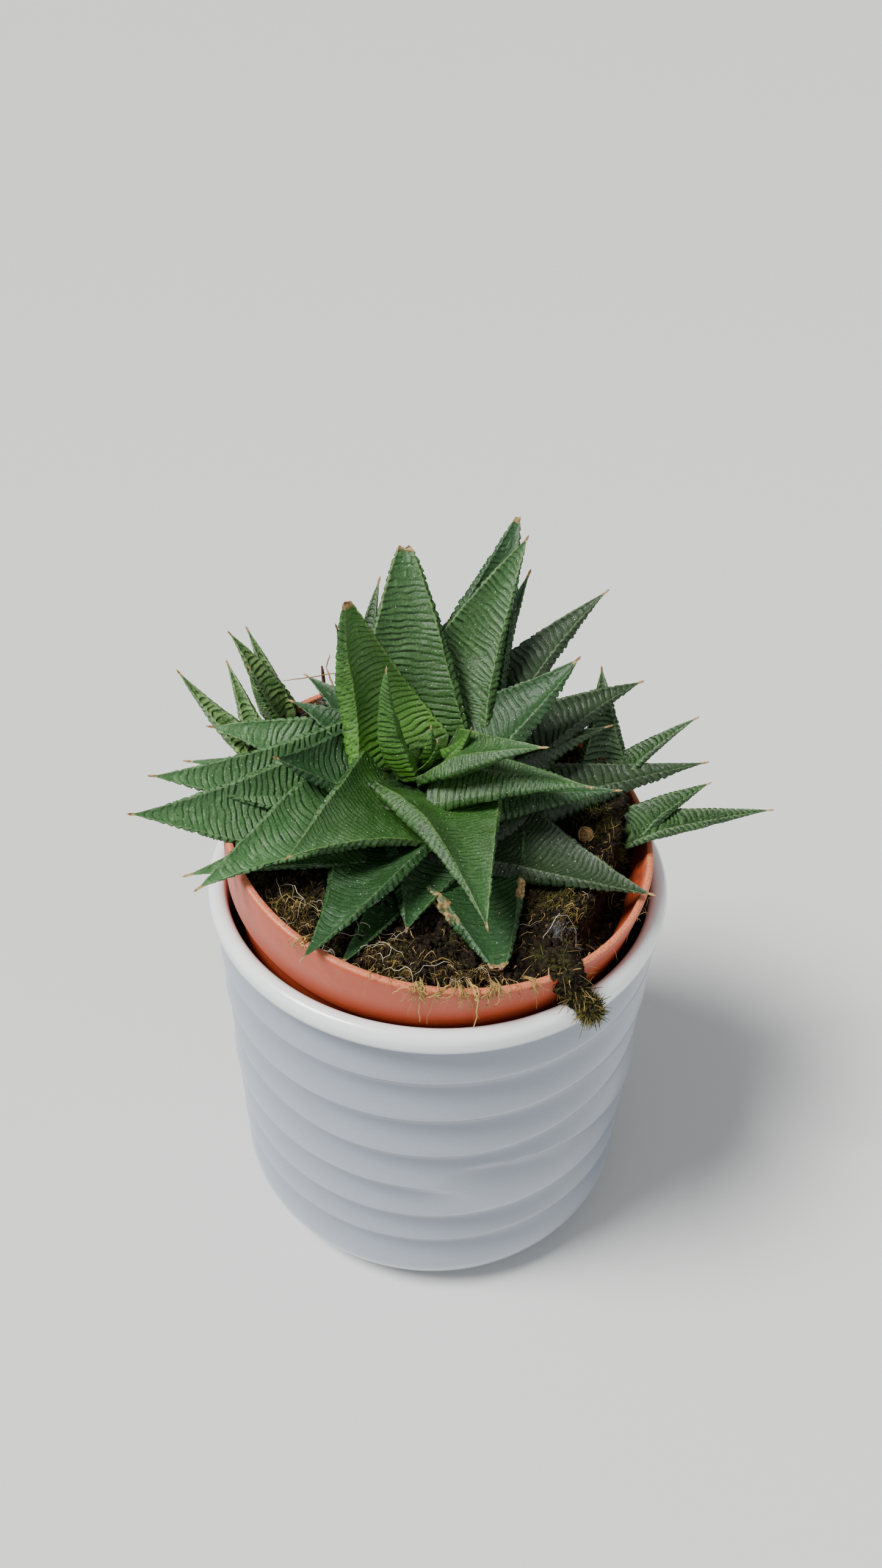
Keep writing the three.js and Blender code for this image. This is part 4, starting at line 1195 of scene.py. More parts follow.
@dataclass(frozen=True)
class CoverPot:
    """The glazed cover pot, with the same outline as its solid but finer.

    above and below are how far a crease reaches over and under its level. The dune is the stretch round
    the wall, in degrees, where one crease gives way to another. plain_rows is how many of the section's
    rows lie below the creases, and fading_rows is how many more they fade in over.
    """

    height: float = 98.0
    lip_outer: float = 53.0
    lip_inner: float = 48.9
    wall_top: float = 52.5
    wall_foot: float = 50.9
    foot_round: float = 13.0
    wall: float = 3.6
    floor: float = 6.0
    depth: float = 2.2
    above: float = 2.6
    below: float = 6.6
    dune_middle: float = -52.0
    dune_reach: float = 34.0
    dune_soft: float = 14.0
    sides: int = 240
    plain_rows: int = 8
    fading_rows: int = 6
    creases: tuple[Crease, ...] = (
        Crease(91.0),
        Crease(78.8, swing=0.9, high=-40),
        Crease(66.0, swing=0.9, high=-40),
        Crease(55.2, wave=1.6, high=-5),
        Crease(41.2, wave=0.6, high=40, fade=Fade.ON_DUNE),
        Crease(45.0, slope=-0.15, fade=Fade.BESIDE_DUNE),
        Crease(30.4, wave=0.5, high=-5),
        Crease(19.4, swing=0.4, high=-60),
    )

    def crease_share(self, azimuth: np.ndarray, height: np.ndarray) -> np.ndarray:
        """How deep in a crease the wall is.

        Args:
            azimuth: Degrees round the pot.
            height: Heights.

        Returns:
            Numbers from 0, on a band, to 1, in a crease.
        """
        turned = (azimuth - self.dune_middle + 90 + 360) % 180 - 90
        reach, soft = self.dune_reach, self.dune_soft
        dune = 1 - smoothstep(reach - soft, reach + soft, np.abs(turned))
        strengths = {Fade.NOWHERE: 1.0, Fade.ON_DUNE: 1 - dune, Fade.BESIDE_DUNE: dune}
        deepest = np.zeros(np.broadcast(azimuth, height).shape)
        for crease in self.creases:
            turn = np.radians(azimuth - crease.high)
            level = crease.height + crease.swing * np.cos(turn) + crease.wave * np.cos(2 * turn)
            over = height - (level + crease.slope * turned)
            width = np.where(over > 0, self.above, self.below)
            deepest = np.maximum(deepest, strengths[crease.fade] * np.exp(-((over / width) ** 2)))
        return deepest

    def profile(self) -> tuple[np.ndarray, np.ndarray]:
        """The pot's section from the middle of its underside up over the lip and down to its floor.

        Returns:
            Points (radius, height) and which of them lie on the creased wall.
        """
        points: list[tuple[float, float]] = [(TINY, 0.0), (15.0, 0.0), (30.0, 0.0)]
        foot = self.wall_foot - self.foot_round
        for turn in np.radians(np.linspace(0, 86, 14)):
            points.append((foot + self.foot_round * math.sin(turn), self.foot_round * (1 - math.cos(turn))))
        for level in np.arange(self.foot_round + 0.4, self.height - 4.9, 0.8):
            share = (level - self.foot_round) / (self.height - self.foot_round)
            points.append((self.wall_foot + (self.wall_top - self.wall_foot) * share, level))
        creased = len(points)
        lip_round = (self.lip_outer - self.lip_inner) / 2
        middle = (self.lip_outer + self.lip_inner) / 2
        points += [(self.lip_outer - 0.12, self.height - 4.5), (self.lip_outer, self.height - 3.6)]
        for turn in np.radians(np.linspace(0, 180, 15)):
            level = self.height - lip_round + lip_round * math.sin(turn)
            points.append((middle + lip_round * math.cos(turn), level))
        inner_foot, floor = self.wall_foot - self.wall, self.floor
        points += [(self.lip_inner, self.height - 12), (inner_foot + 0.4, 50.0), (inner_foot, floor + 8)]
        points += [(inner_foot - 2.5, floor + 2.5), (inner_foot - 8, floor), (20.0, floor), (TINY, floor)]
        on_wall = np.zeros(len(points))
        on_wall[self.plain_rows:creased] = 1.0
        on_wall[self.plain_rows:self.plain_rows + self.fading_rows] = np.linspace(0.1, 1.0, self.fading_rows)
        return np.array(points), on_wall

    def build(self, material: Material) -> None:
        """Makes the pot.

        Args:
            material: Its glaze.
        """
        profile, on_wall = self.profile()
        azimuth = np.linspace(-180, 180, self.sides, endpoint=False)
        radius, height = profile[:, :1], profile[:, 1:]
        share = self.crease_share(azimuth[None], height) * on_wall[:, None]
        # lip marks the top band that the glaze paints whiter, partly with a painted light.
        lip = smoothstep(self.height - 7.0, self.height - 2.0, height) * np.ones(self.sides)
        work = Patchwork()
        work.skin(polar(radius - self.depth * share, np.radians(azimuth), height), crease=share, lip=lip)
        work.build("cover_pot_glazed", material, Slot.GLAZE, "cover_pot")


# ------------------------------------------------------------------ nursery pot and soil


@dataclass(frozen=True)
class NurseryPot:
    """The plastic pot that leans in the cover pot. Its own frame has the rim's middle at the origin."""

    rim_centre: Triple = (0.5, -2.0, 113.5)
    lean: Triple = (0.125, -0.105, 1.0)
    height: float = 103.0
    rim_outer: float = 48.3
    rim_foot: float = 47.3
    rim_band: float = 15.0
    shoulder: float = 45.4
    foot_outer: float = 32.6
    wall: float = 1.6
    sides: int = 160
    outside_rows: int = 16

    @property
    def matrix(self) -> np.ndarray:
        """The 4 by 4 matrix from the pot's own frame to the part's frame, in millimetres."""
        turn = Vector((0, 0, 1)).rotation_difference(Vector(self.lean).normalized())
        return np.array(Matrix.Translation(self.rim_centre) @ turn.to_matrix().to_4x4())

    @property
    def up(self) -> np.ndarray:
        """The direction of the pot's own axis in the part's frame."""
        return self.matrix[:3, 2]

    def to_part(self, points: np.ndarray) -> np.ndarray:
        """Moves points, shape (..., 3), from the pot's own frame to the part's."""
        matrix = self.matrix
        return points @ matrix[:3, :3].T + matrix[:3, 3]

    def inside(self, height: float) -> float:
        """Inner radius at a height, which is zero at the rim or less."""
        share = min(max((-height - self.rim_band) / (self.height - self.rim_band), 0.0), 1.0)
        return self.shoulder + (self.foot_outer - self.shoulder) * share - self.wall

    def build(self, material: Material) -> None:
        """Makes the pot.

        Args:
            material: Its plastic.
        """
        band, foot, outer, wall = -self.rim_band, -self.height, self.rim_outer, self.wall
        profile = np.array([
            (TINY, foot), (16.0, foot), (self.foot_outer - 1.5, foot), (self.foot_outer - 0.4, foot + 0.4),
            (self.foot_outer, foot + 1.5), (self.shoulder, band - 1.5), (self.shoulder + 0.3, band - 0.6),
            (self.rim_foot - 0.4, band - 0.1), (self.rim_foot, band + 0.4), (outer - 0.25, -5.0),
            (outer - 0.15, -2.6), (outer, -1.6), (outer, -0.6), (outer - 0.2, -0.12), (outer - 0.6, 0.0),
            (outer - wall + 0.25, 0.0), (outer - wall, -0.25), (outer - wall - 0.3, -4.0),
            (self.shoulder - wall, band), (self.inside(foot + wall), foot + wall), (TINY, foot + wall),
        ])
        radius, height = profile[:, :1], profile[:, 1:] * np.ones(self.sides)
        inside = np.zeros(height.shape)
        inside[self.outside_rows:] = 1.0
        work = Patchwork()
        points = self.to_part(polar(radius, around(self.sides), height))
        # rim marks the top edge, which is paled partly by scuffs and partly by a painted light.
        work.skin(points, rim=smoothstep(-0.5, -0.05, height), inside=inside)
        work.build("nursery_pot_plastic", material, Slot.PLASTIC, "nursery_pot")


@dataclass(frozen=True)
class Heap:
    """A rise or hollow of the soil, in the leaning pot's own plane."""

    at: tuple[float, float]
    rise: float
    spread: float


@dataclass(frozen=True)
class Soil:
    """The peat: a crumbly bed that has come away from the pot's wall between two turns, in degrees."""

    pot: NurseryPot
    below: float = 4.2
    rim_gap: float = 0.6
    roughness: float = 0.9
    bare_from: float = -52.0
    bare_to: float = 4.0
    bare_depth: float = 9.5
    skirt_depth: float = 9.0
    foot_gap: float = 1.9
    wall_gap: float = 0.3
    rings: int = 110
    sides: int = 300
    heaps: tuple[Heap, ...] = (
        Heap((40, 2), 10.5, 9.5),
        Heap((-30, 32), 5.5, 12),
        Heap((-4, 2), -9, 21),
        Heap((29, -29), 5.8, 13),
        Heap((37, 25), 5.0, 8),
        Heap((11, -30), -3.2, 9.5),
    )

    @property
    def reach(self) -> float:
        """Radius of the bed's top."""
        return self.pot.rim_outer - self.pot.wall - 0.3 - self.rim_gap

    def level(self, x: np.ndarray, y: np.ndarray) -> np.ndarray:
        """Height of the bed over the rim's plane, before its fine crumbs.

        Args:
            x: Positions across.
            y: Positions along.

        Returns:
            Heights.
        """
        height = np.full(np.broadcast(x, y).shape, -self.below)
        for heap in self.heaps:
            away = np.hypot(x - heap.at[0], y - heap.at[1])
            height = height + heap.rise * np.exp(-((away / heap.spread) ** 2))
        crumbs = np.sin(0.55 * x + 1.3) * np.sin(0.48 * y + 0.4) + 0.5 * np.sin(1.1 * x - 0.9 * y)
        return height + self.roughness * crumbs

    def surface(self, x: np.ndarray, y: np.ndarray) -> np.ndarray:
        """Height of the bed with its fine crumbs.

        Args:
            x: Positions across.
            y: Positions along.

        Returns:
            Heights.
        """
        place, out = np.stack([x, y], -1), np.hypot(x, y)
        rough = layered(place, (0.7, 3.1, 11), (0.75, 1.4, 12), (0.45, 0.7, 13))
        edge = smoothstep(self.reach, self.reach - 4.0, out)
        level = self.level(x, y)
        turn = np.degrees(np.arctan2(y, x))
        bare = smoothstep(self.bare_from - 5.0, self.bare_from + 3.0, turn)
        bare = bare * smoothstep(self.bare_to + 6.0, self.bare_to - 6.0, turn)
        ragged = out + 0.9 * noise(place, 2.6, 14)
        hollow = smoothstep(self.reach - 7.6, self.reach - 4.6, ragged) * bare * self.bare_depth
        settled = (np.minimum(level, 0.2) - level - 0.5) * (1 - edge)
        return level + settled + rough * (0.5 + 0.5 * edge) - hollow

    def build_bed(self, material: Material) -> None:
        """Makes the bed.

        Args:
            material: Its finish.
        """
        turn = around(self.sides)
        share = np.linspace(0.0, 1.0, self.rings) ** 0.8
        radius = (self.reach * share)[:, None] * np.ones(self.sides)
        radius[0] = TINY
        x, y = radius * np.cos(turn), radius * np.sin(turn)
        top = np.stack([x, y, self.surface(x, y)], -1)
        band, foot = -self.pot.rim_band, -self.pot.height
        skirt = (
            (self.reach - 0.5, -self.skirt_depth), (self.pot.inside(band) - self.wall_gap, band - 0.5),
            (self.pot.inside(foot) - self.wall_gap, foot + self.foot_gap), (TINY, foot + self.foot_gap),
        )
        rows = np.stack([polar(inner, turn, height) for inner, height in skirt])
        work = Patchwork()
        work.skin(self.pot.to_part(np.concatenate([top, rows])[::-1]))
        work.build("soil_bed", material, Slot.PEAT, "soil")


@dataclass(frozen=True)
class Patch:
    """A round patch on the soil, in the leaning pot's own plane, with its share of what is strewn."""

    at: tuple[float, float]
    reach: float
    share: float = 1.0


@dataclass(frozen=True)
class Lump:
    """A lump of soil, in the part's frame."""

    centre: Triple
    radii: Triple

    def on(self, facing: np.ndarray, share: float = 1.0) -> np.ndarray:
        """Points on the lump in given directions, at a share of its radii."""
        return np.array(self.centre) + facing * np.array(self.radii) * share


@dataclass(frozen=True)
class Tuft:
    """Straw that hangs over the rim: its middle and spread in degrees round the pot, and how many blades."""

    azimuth: float
    spread: float
    count: int


@dataclass(frozen=True)
class Twig:
    """A straight twig, in the part's frame."""

    start: Triple
    end: Triple
    points: int
    radius: float
    tone: float


def icosahedron() -> tuple[np.ndarray, np.ndarray]:
    """The body of twenty triangles that a crumb starts from.

    Returns:
        Its corners at distance 1 from the middle, and its faces.
    """
    golden = (1 + 5**0.5) / 2
    first = [(0, a, b * golden) for a in (-1, 1) for b in (-1, 1)]
    corners = unit(np.array(first + [(b, 0, a) for _, a, b in first] + [(a, b, 0) for _, a, b in first]))
    apart = np.linalg.norm(corners[:, None] - corners[None], axis=-1)
    near = apart < 1.2  # an edge is 1.05 long, and the next distance between corners is 1.70
    faces = []
    for a, b, c in combinations(range(len(corners)), 3):
        if near[a, b] and near[b, c] and near[a, c]:
            turned = np.dot(np.cross(corners[b] - corners[a], corners[c] - corners[a]), corners[a]) < 0
            faces.append((a, c, b) if turned else (a, b, c))
    return corners, np.array(faces)


def rotations(quaternions: np.ndarray) -> np.ndarray:
    """Turns unit quaternions into matrices.

    Args:
        quaternions: The quaternions, shape (n, 4).

    Returns:
        The matrices, shape (n, 3, 3).
    """
    w, x, y, z = quaternions.T
    return np.stack([
        1 - 2 * (y * y + z * z), 2 * (x * y - z * w), 2 * (x * z + y * w),
        2 * (x * y + z * w), 1 - 2 * (x * x + z * z), 2 * (y * z - x * w),
        2 * (x * z - y * w), 2 * (y * z + x * w), 1 - 2 * (x * x + y * y),
    ], -1).reshape(-1, 3, 3)


@dataclass
class Dressing:
    """What lies on the peat: crumbs, straw, roots, moss, mould, twigs and the soil spilt over the rim."""

    soil: Soil
    rng: np.random.Generator = field(default_factory=lambda: np.random.default_rng(41))
    crumbs: int = 6800
    crumbs_on_lump: int = 240
    fibres: int = 3400
    fibres_on_lump: int = 22
    tallest_fibre: float = 3.2
    roots: int = 60
    root_forks: tuple[tuple[float, float], ...] = ((27.2, -38.6), (29.4, -33.5), (-20.5, -39.5))
    moss_strands: int = 5200
    mould_hairs: int = 900
    rim_hairs: int = 26
    spilt: tuple[Lump, ...] = (
        Lump((23.9, -37.5, 106.2), (4.6, 4.4, 1.9)),
        Lump((25.7, -39.9, 105.7), (3.7, 3.5, 2.0)),
        Lump((27.2, -41.4, 103.1), (3.2, 2.4, 2.6)),
        Lump((29.0, -42.4, 100.4), (2.4, 2.0, 2.2)),
        Lump((31.5, -43.6, 97.6), (1.8, 1.6, 2.2)),
    )
    moss_on_spilt: tuple[tuple[int, int], ...] = ((4, 1600), (3, 350), (2, 150), (0, 250))
    moss_patches: tuple[Patch, ...] = (
        Patch((-29, -28), 6.5, 1.2),
        Patch((25, -21), 6.0, 1.2),
        Patch((41.8, -0.6), 2.2, 0.35),
        Patch((33, 6), 6.0, 0.8),
        Patch((28, -36), 5.0, 0.5),
        Patch((-8, -42), 6.0, 0.5),
        Patch((5, -44), 5.0, 0.3),
        Patch((-38, -12), 6.0, 0.5),
        Patch((0, 40), 12.0, 0.6),
    )
    bright_moss: Patch = Patch((41.8, -0.6), 2.4)
    brighter: float = 0.35
    mould_patches: tuple[Patch, ...] = (
        Patch((25.3, -29.4), 1.9, 0.22),
        Patch((30.5, -28.0), 1.3, 0.08),
        Patch((-30.5, 34.5), 4.6, 0.55),
        Patch((-25.5, 37.0), 3.0, 0.25),
    )
    straw_patches: tuple[Patch, ...] = (
        Patch((-31, -31), 7.0, 1.6),
        Patch((-12, -42), 9.0, 1.5),
        Patch((8, -43), 8.0, 1.2),
        Patch((28, -26), 9.0, 0.8),
        Patch((38, -8), 7.0, 0.5),
        Patch((36, 24), 7.0, 0.5),
        Patch((-30, 33), 8.0, 0.5),
        Patch((0, 0), 32.0, 1.6),
    )
    root_patch: Patch = Patch((-14, -36), 8, 1.2)
    tufts: tuple[Tuft, ...] = (
        Tuft(-94.0, 0.8, 20),
        Tuft(-88.0, 3.0, 5),
        Tuft(-84.5, 0.9, 18),
        Tuft(-81.5, 0.6, 10),
        Tuft(-75.5, 0.8, 18),
        Tuft(-72.0, 3.0, 4),
        Tuft(-104.0, 5.0, 4),
        Tuft(-66.5, 1.2, 9),
        Tuft(-124.0, 1.4, 10),
    )
    twigs: tuple[Twig, ...] = (
        Twig((-29.2, 37.2, 119.5), (-29.9, 37.6, 126.6), 8, 0.5, 0.1),
        Twig((-39.0, 36.0, 123.4), (-22.5, 37.6, 125.6), 12, 0.14, 0.55),
        Twig((-26.2, 33.6, 122.0), (-28.6, 37.8, 126.0), 8, 0.26, 0.8),
        Twig((-28.6, 37.8, 126.0), (-27.6, 38.4, 129.6), 6, 0.16, 0.7),
        Twig((-26.2, 33.6, 122.0), (-21.8, 34.6, 122.4), 7, 0.24, 0.85),
    )
    tangle_at: tuple[float, float] = (38.0, 24.5)
    tangle_strands: int = 46
    ball_at: tuple[float, float] = (32.4, -1.6)
    ball_strands: int = 70

    def heading(self) -> float:
        """A random direction in radians."""
        return self.rng.uniform(0, 2 * math.pi)

    def facing(self, *count: int) -> np.ndarray:
        """A random direction in space, or as many as count says."""
        return unit(self.rng.normal(size=(*count, 3)))

    def strewn(self, patches: tuple[Patch, ...], count: int) -> np.ndarray:
        """Random places on the bed, gathered in patches.

        Args:
            patches: The patches.
            count: About how many places.

        Returns:
            Places across and along, shape (n, 2).
        """
        total = sum(patch.share for patch in patches)
        places = []
        for patch in patches:
            number = int(count * patch.share / total)
            places.append(np.array(patch.at) + self.rng.normal(0, patch.reach * 0.55, (number, 2)))
        spots = np.concatenate(places)
        return spots[np.hypot(spots[:, 0], spots[:, 1]) < self.soil.reach - 0.6]

    def on_bed(self, spots: np.ndarray, lift: np.ndarray | float = 0.0) -> np.ndarray:
        """Points in the part's frame, a lift over the bed at places across and along, shape (..., 2)."""
        height = self.soil.surface(spots[..., 0], spots[..., 1]) + lift
        return self.soil.pot.to_part(np.concatenate([spots, height[..., None]], axis=-1))

    def strand(self, start: np.ndarray, heading: float, length: float, lift: float) -> np.ndarray:
        """A curly strand that lies on the bed.

        Args:
            start: Its first place across and along.
            heading: Its first direction in radians.
            length: Its length.
            lift: How far its middle rises.

        Returns:
            Its points in the part's frame.
        """
        points = 9
        turns = heading + np.cumsum(self.rng.normal(0, 0.42, points))
        turns = turns + np.linspace(0, self.rng.normal(0, 1.4), points)
        steps = np.stack([np.cos(turns), np.sin(turns)], -1) * length / points
        spots = start + np.cumsum(steps, axis=0)
        far = np.hypot(spots[:, 0], spots[:, 1])
        spots = spots * np.minimum(1.0, (self.soil.reach - 0.7) / far)[:, None]
        arch = lift * np.sin(np.linspace(0.15, math.pi * 0.95, points)) + 0.1 + self.rng.uniform(-0.2, 0.35)
        return self.on_bed(spots, arch)

    def shoot(self, start: np.ndarray, facing: np.ndarray, length: tuple[float, float], points: int,
              stray: float = 0.9, curl: float = 0.0, sag: np.ndarray | float = 0.0) -> np.ndarray:
        """A short shoot that stands out from where it starts.

        Args:
            start: Its first point.
            facing: The direction that it stands out in.
            length: Its least and greatest length.
            points: Number of its points.
            stray: How far its direction strays.
            curl: How far it curls over.
            sag: How far it sags.

        Returns:
            Its points.
        """
        drift = unit(facing + self.rng.normal(0, stray, 3))
        steps = np.linspace(0, self.rng.uniform(*length), points)[:, None]
        path = start + drift * steps
        if curl:
            path = path + self.facing() * curl * steps**2
        return path + sag * steps**2

    def build_crumbs(self, material: Material) -> None:
        """Makes loose crumbs of peat all over the bed and the spilt soil.

        Args:
            material: Their finish.
        """
        corners, faces = icosahedron()
        turn = self.rng.uniform(0, 2 * math.pi, self.crumbs)
        out = (self.soil.reach - 0.5) * np.sqrt(self.rng.uniform(0.05, 1, self.crumbs))
        bed = self.on_bed(np.stack([out * np.cos(turn), out * np.sin(turn)], -1), 0.05)
        over = [lump.on(self.facing(self.crumbs_on_lump), 1.02) for lump in self.spilt]
        places = np.concatenate([bed, *over])
        count = len(places)
        size = 0.25 + 0.75 * self.rng.uniform(0, 1, count) ** 2.6
        spin = rotations(unit(self.rng.normal(size=(count, 4))))
        stretch = self.rng.uniform(0.6, 1.5, (count, 1, 3))
        knobs = self.rng.uniform(0.7, 1.25, (count, len(corners), 1))
        shapes = (corners[None] * stretch * knobs) @ spin * size[:, None, None] + places[:, None]
        index = faces[None] + len(corners) * np.arange(count)[:, None, None]
        work = Patchwork()
        work.add(shapes.reshape(-1, 3), index.reshape(-1, 3))
        work.build("soil_crumbs", material, Slot.PEAT)

    def build_straw(self, material: Material) -> None:
        """Makes the straw fibres on the bed and the spilt soil, without tall ones where the bed is steep.

        Args:
            material: Their finish.
        """
        rng, strands = self.rng, Strands()
        for spot in self.strewn(self.straw_patches, self.fibres):
            length = rng.choice((rng.uniform(0.8, 2.6), rng.uniform(2.0, 7.5)), p=(0.6, 0.4))
            path = self.strand(spot, self.heading(), length, rng.exponential(0.6))
            if np.ptp(path[:, 2]) <= self.tallest_fibre:
                radius = rng.choice((0.04, 0.06, 0.1, 0.17), p=(0.35, 0.35, 0.22, 0.08))
                strands.add(path, radius, rng.uniform(0, 1) ** 2.6)
        sag = np.array([0, 0, -0.06])
        for lump in self.spilt:
            for _ in range(self.fibres_on_lump):
                facing = self.facing()
                path = self.shoot(lump.on(facing), facing, (1.5, 4.5), 7, stray=0.8, sag=sag)
                strands.add(path, rng.uniform(0.05, 0.12), rng.uniform(0.2, 0.9))
        strands.build("straw_fibres", material)

    def build_roots(self, material: Material) -> None:
        """Makes the pale roots, some of them in forks.

        Args:
            material: Their finish.
        """
        rng, strands = self.rng, Strands()
        for spot in self.strewn((*self.straw_patches[:5], self.root_patch), self.roots):
            strands.paths.append(self.strand(spot, self.heading(), rng.uniform(5, 15), rng.uniform(0.8, 3.2)))
        strands.radii = [rng.uniform(0.04, 0.09) for _ in strands.paths]
        for at in self.root_forks:
            for heading, length in ((2.2, 4.0), (1.0, 2.6), (-1.3, 3.2)):
                strands.paths.append(self.strand(np.array(at), heading, length, 1.6))
                strands.radii.append(0.17)
        strands.tones = [rng.uniform(0.3, 1.0) for _ in strands.paths]
        strands.build("pale_roots", material, sides=5)

    def over_rim(self, tuft: Tuft) -> np.ndarray:
        """A blade of straw that comes out of the soil and hangs over the rim.

        Args:
            tuft: The tuft that it belongs to.

        Returns:
            Its points in the part's frame.
        """
        rng, pot = self.rng, self.soil.pot
        turn = math.radians(tuft.azimuth + rng.normal(0, tuft.spread * 0.5))
        drift = math.radians(rng.normal(0, 2.2))
        drop = 0.6 + rng.exponential(2.0)
        inner, rim = pot.rim_outer - rng.uniform(2.5, 6.0), pot.rim_outer + 0.25
        knots = np.array([
            (inner, turn, -2.6),
            (pot.rim_outer - 1.6, turn + 0.2 * drift, 0.5),
            (rim, turn + 0.4 * drift, 0.5),
            (rim + 0.35, turn + 0.7 * drift, -0.35 * drop),
            (rim + rng.uniform(0.1, 1.2), turn + drift, -drop),
        ])
        places = polar(*knots.T)
        fine = np.linspace(0, len(places) - 1, 14)
        path = np.stack([np.interp(fine, np.arange(len(places)), places[:, axis]) for axis in range(3)], -1)
        path[1:-1] = (path[:-2] + 2 * path[1:-1] + path[2:]) / 4
        path[4:] += np.cumsum(rng.normal(0, 0.3, (10, 3)) * np.array([1, 0.4, 0.8]), axis=0)
        keep = np.where(path[:, 2] < -0.4, rim + 0.1, 0.0)
        keep[:5] = 0.0
        path[:, :2] *= np.maximum(1.0, keep / np.hypot(path[:, 0], path[:, 1]))[:, None]
        return pot.to_part(path)

    def rim_hair(self) -> np.ndarray:
        """A thin hair that stands off the front of the rim.

        Returns:
            Its points in the part's frame.
        """
        rng, pot = self.rng, self.soil.pot
        turn = math.radians(rng.uniform(-112, -20))
        lean = rng.normal(0, 0.35)
        steps = np.linspace(0, rng.uniform(3, 10), 10)
        out = pot.rim_outer + 0.2 + 0.55 * steps * rng.uniform(0.1, 0.6)
        return pot.to_part(polar(out, turn + lean * steps / 48, 0.3 + 0.2 * steps - 0.055 * steps**2))

    def build_tufts(self, material: Material) -> None:
        """Makes the straw and the hairs that hang over the front of the rim.

        Args:
            material: Their finish.
        """
        rng, strands = self.rng, Strands()
        for tuft in self.tufts:
            for _ in range(tuft.count):
                path = self.over_rim(tuft)
                strands.add(path, rng.choice((0.05, 0.09, 0.2), p=(0.45, 0.4, 0.15)), rng.uniform(0.45, 1.0))
        for _ in range(self.rim_hairs):
            strands.add(self.rim_hair(), 0.04, rng.uniform(0.15, 0.6))
        strands.build("straw_tufts", material)

    def build_moss(self, material: Material) -> None:
        """Makes the moss: short curved shoots in patches, on the bed and on the spilt soil.

        Args:
            material: Its finish.
        """
        rng, strands, length = self.rng, Strands(), (0.5, 1.7)
        for spot in self.strewn(self.moss_patches, self.moss_strands):
            path = self.shoot(self.on_bed(spot[None], -0.2)[0], self.soil.pot.up, length, 5, curl=0.42)
            radius = rng.uniform(0.05, 0.12)
            is_bright = math.dist(spot, self.bright_moss.at) < self.bright_moss.reach
            tone = rng.uniform(0.0, 0.75) + (self.brighter if is_bright else 0.0)
            strands.add(path, radius, min(tone, 1.0))
        for number, count in self.moss_on_spilt:
            for _ in range(count):
                facing = self.facing()
                path = self.shoot(self.spilt[number].on(facing, 0.97), facing, length, 6, curl=0.65)
                strands.add(path, rng.uniform(0.045, 0.12), rng.uniform(0.0, 1.0))
        strands.build("moss", material, sides=3)

    def build_mould(self, material: Material) -> None:
        """Makes the grey-white mould: fine matted hairs.

        Args:
            material: Its finish.
        """
        rng, strands, up = self.rng, Strands(), self.soil.pot.up
        for spot in self.strewn(self.mould_patches, self.mould_hairs):
            base = self.on_bed(spot[None], rng.uniform(0.0, 0.7))[0]
            strands.paths.append(self.shoot(base, 0.5 * up, (0.4, 1.5), 6, curl=0.5, sag=-0.12 * up))
            strands.radii.append(rng.uniform(0.02, 0.045))
        strands.tones = [rng.uniform(0.4, 1.0) for _ in strands.paths]
        strands.build("mould", material, sides=3)

    def build_spill(self, material: Material) -> None:
        """Makes the soil that has spilt over the rim onto the cover pot's lip.

        Args:
            material: Its finish.
        """
        tilt = np.linspace(0.02, math.pi - 0.02, 44)[:, None]
        turn = np.linspace(0, 2 * math.pi, 72, endpoint=False)[None]
        ball = polar(np.sin(tilt), turn, np.cos(tilt))
        work = Patchwork()
        for number, lump in enumerate(self.spilt):
            shell = ball * np.array(lump.radii)
            rough = layered(shell, (0.8, 2.4, 60 + number), (0.5, 1.1, 70 + number), (0.3, 0.6, 80 + number))
            work.skin((lump.on(ball) + ball * rough[..., None])[::-1])
        work.build("spilt_soil", material, Slot.PEAT)

    def build_twigs(self, material: Material) -> None:
        """Makes the twigs behind the plant, the red-brown root tangle and the small ball of fibre.

        Args:
            material: Their finish.
        """
        rng, strands = self.rng, Strands()
        for twig in self.twigs:
            path = np.linspace(twig.start, twig.end, twig.points)
            strands.add(path + np.cumsum(rng.normal(0, 0.08, path.shape), axis=0), twig.radius, twig.tone)
        for _ in range(self.tangle_strands):
            spot = np.array(self.tangle_at) + rng.normal(0, 2.4, 2)
            path = self.strand(spot, self.heading(), rng.uniform(4, 9), rng.uniform(0.8, 3.6))
            strands.add(path, rng.uniform(0.08, 0.22), rng.uniform(0.1, 0.5))
        centre = self.on_bed(np.array([self.ball_at]), 1.5)[0]
        for _ in range(self.ball_strands):
            pole = self.facing()
            first = unit(np.cross(pole, rng.normal(size=3)))
            turn = np.linspace(0, rng.uniform(2, 5.5), 12)[:, None]
            ring = first * np.cos(turn) + np.cross(pole, first) * np.sin(turn)
            path = centre + ring * rng.uniform(1.25, 1.75) + pole * rng.normal(0, 0.35)
            strands.add(path, rng.uniform(0.07, 0.15), rng.uniform(0.5, 0.95))
        strands.build("twigs_and_root_tangle", material, sides=6)

    def build(self, peat: Material) -> None:
        """Makes all of it.

        Args:
            peat: The bed's finish.
        """
        finishes = {kind: kind.value.build() for kind in FibreKind}
        self.build_crumbs(peat)
        self.build_straw(finishes[FibreKind.STRAW])
        self.build_roots(finishes[FibreKind.ROOT])
        self.build_tufts(finishes[FibreKind.STRAW])
        self.build_moss(finishes[FibreKind.MOSS])
        self.build_mould(finishes[FibreKind.MOULD])
        self.build_spill(peat)
        self.build_twigs(finishes[FibreKind.BARK])


# ------------------------------------------------------------------ camera, light and stage


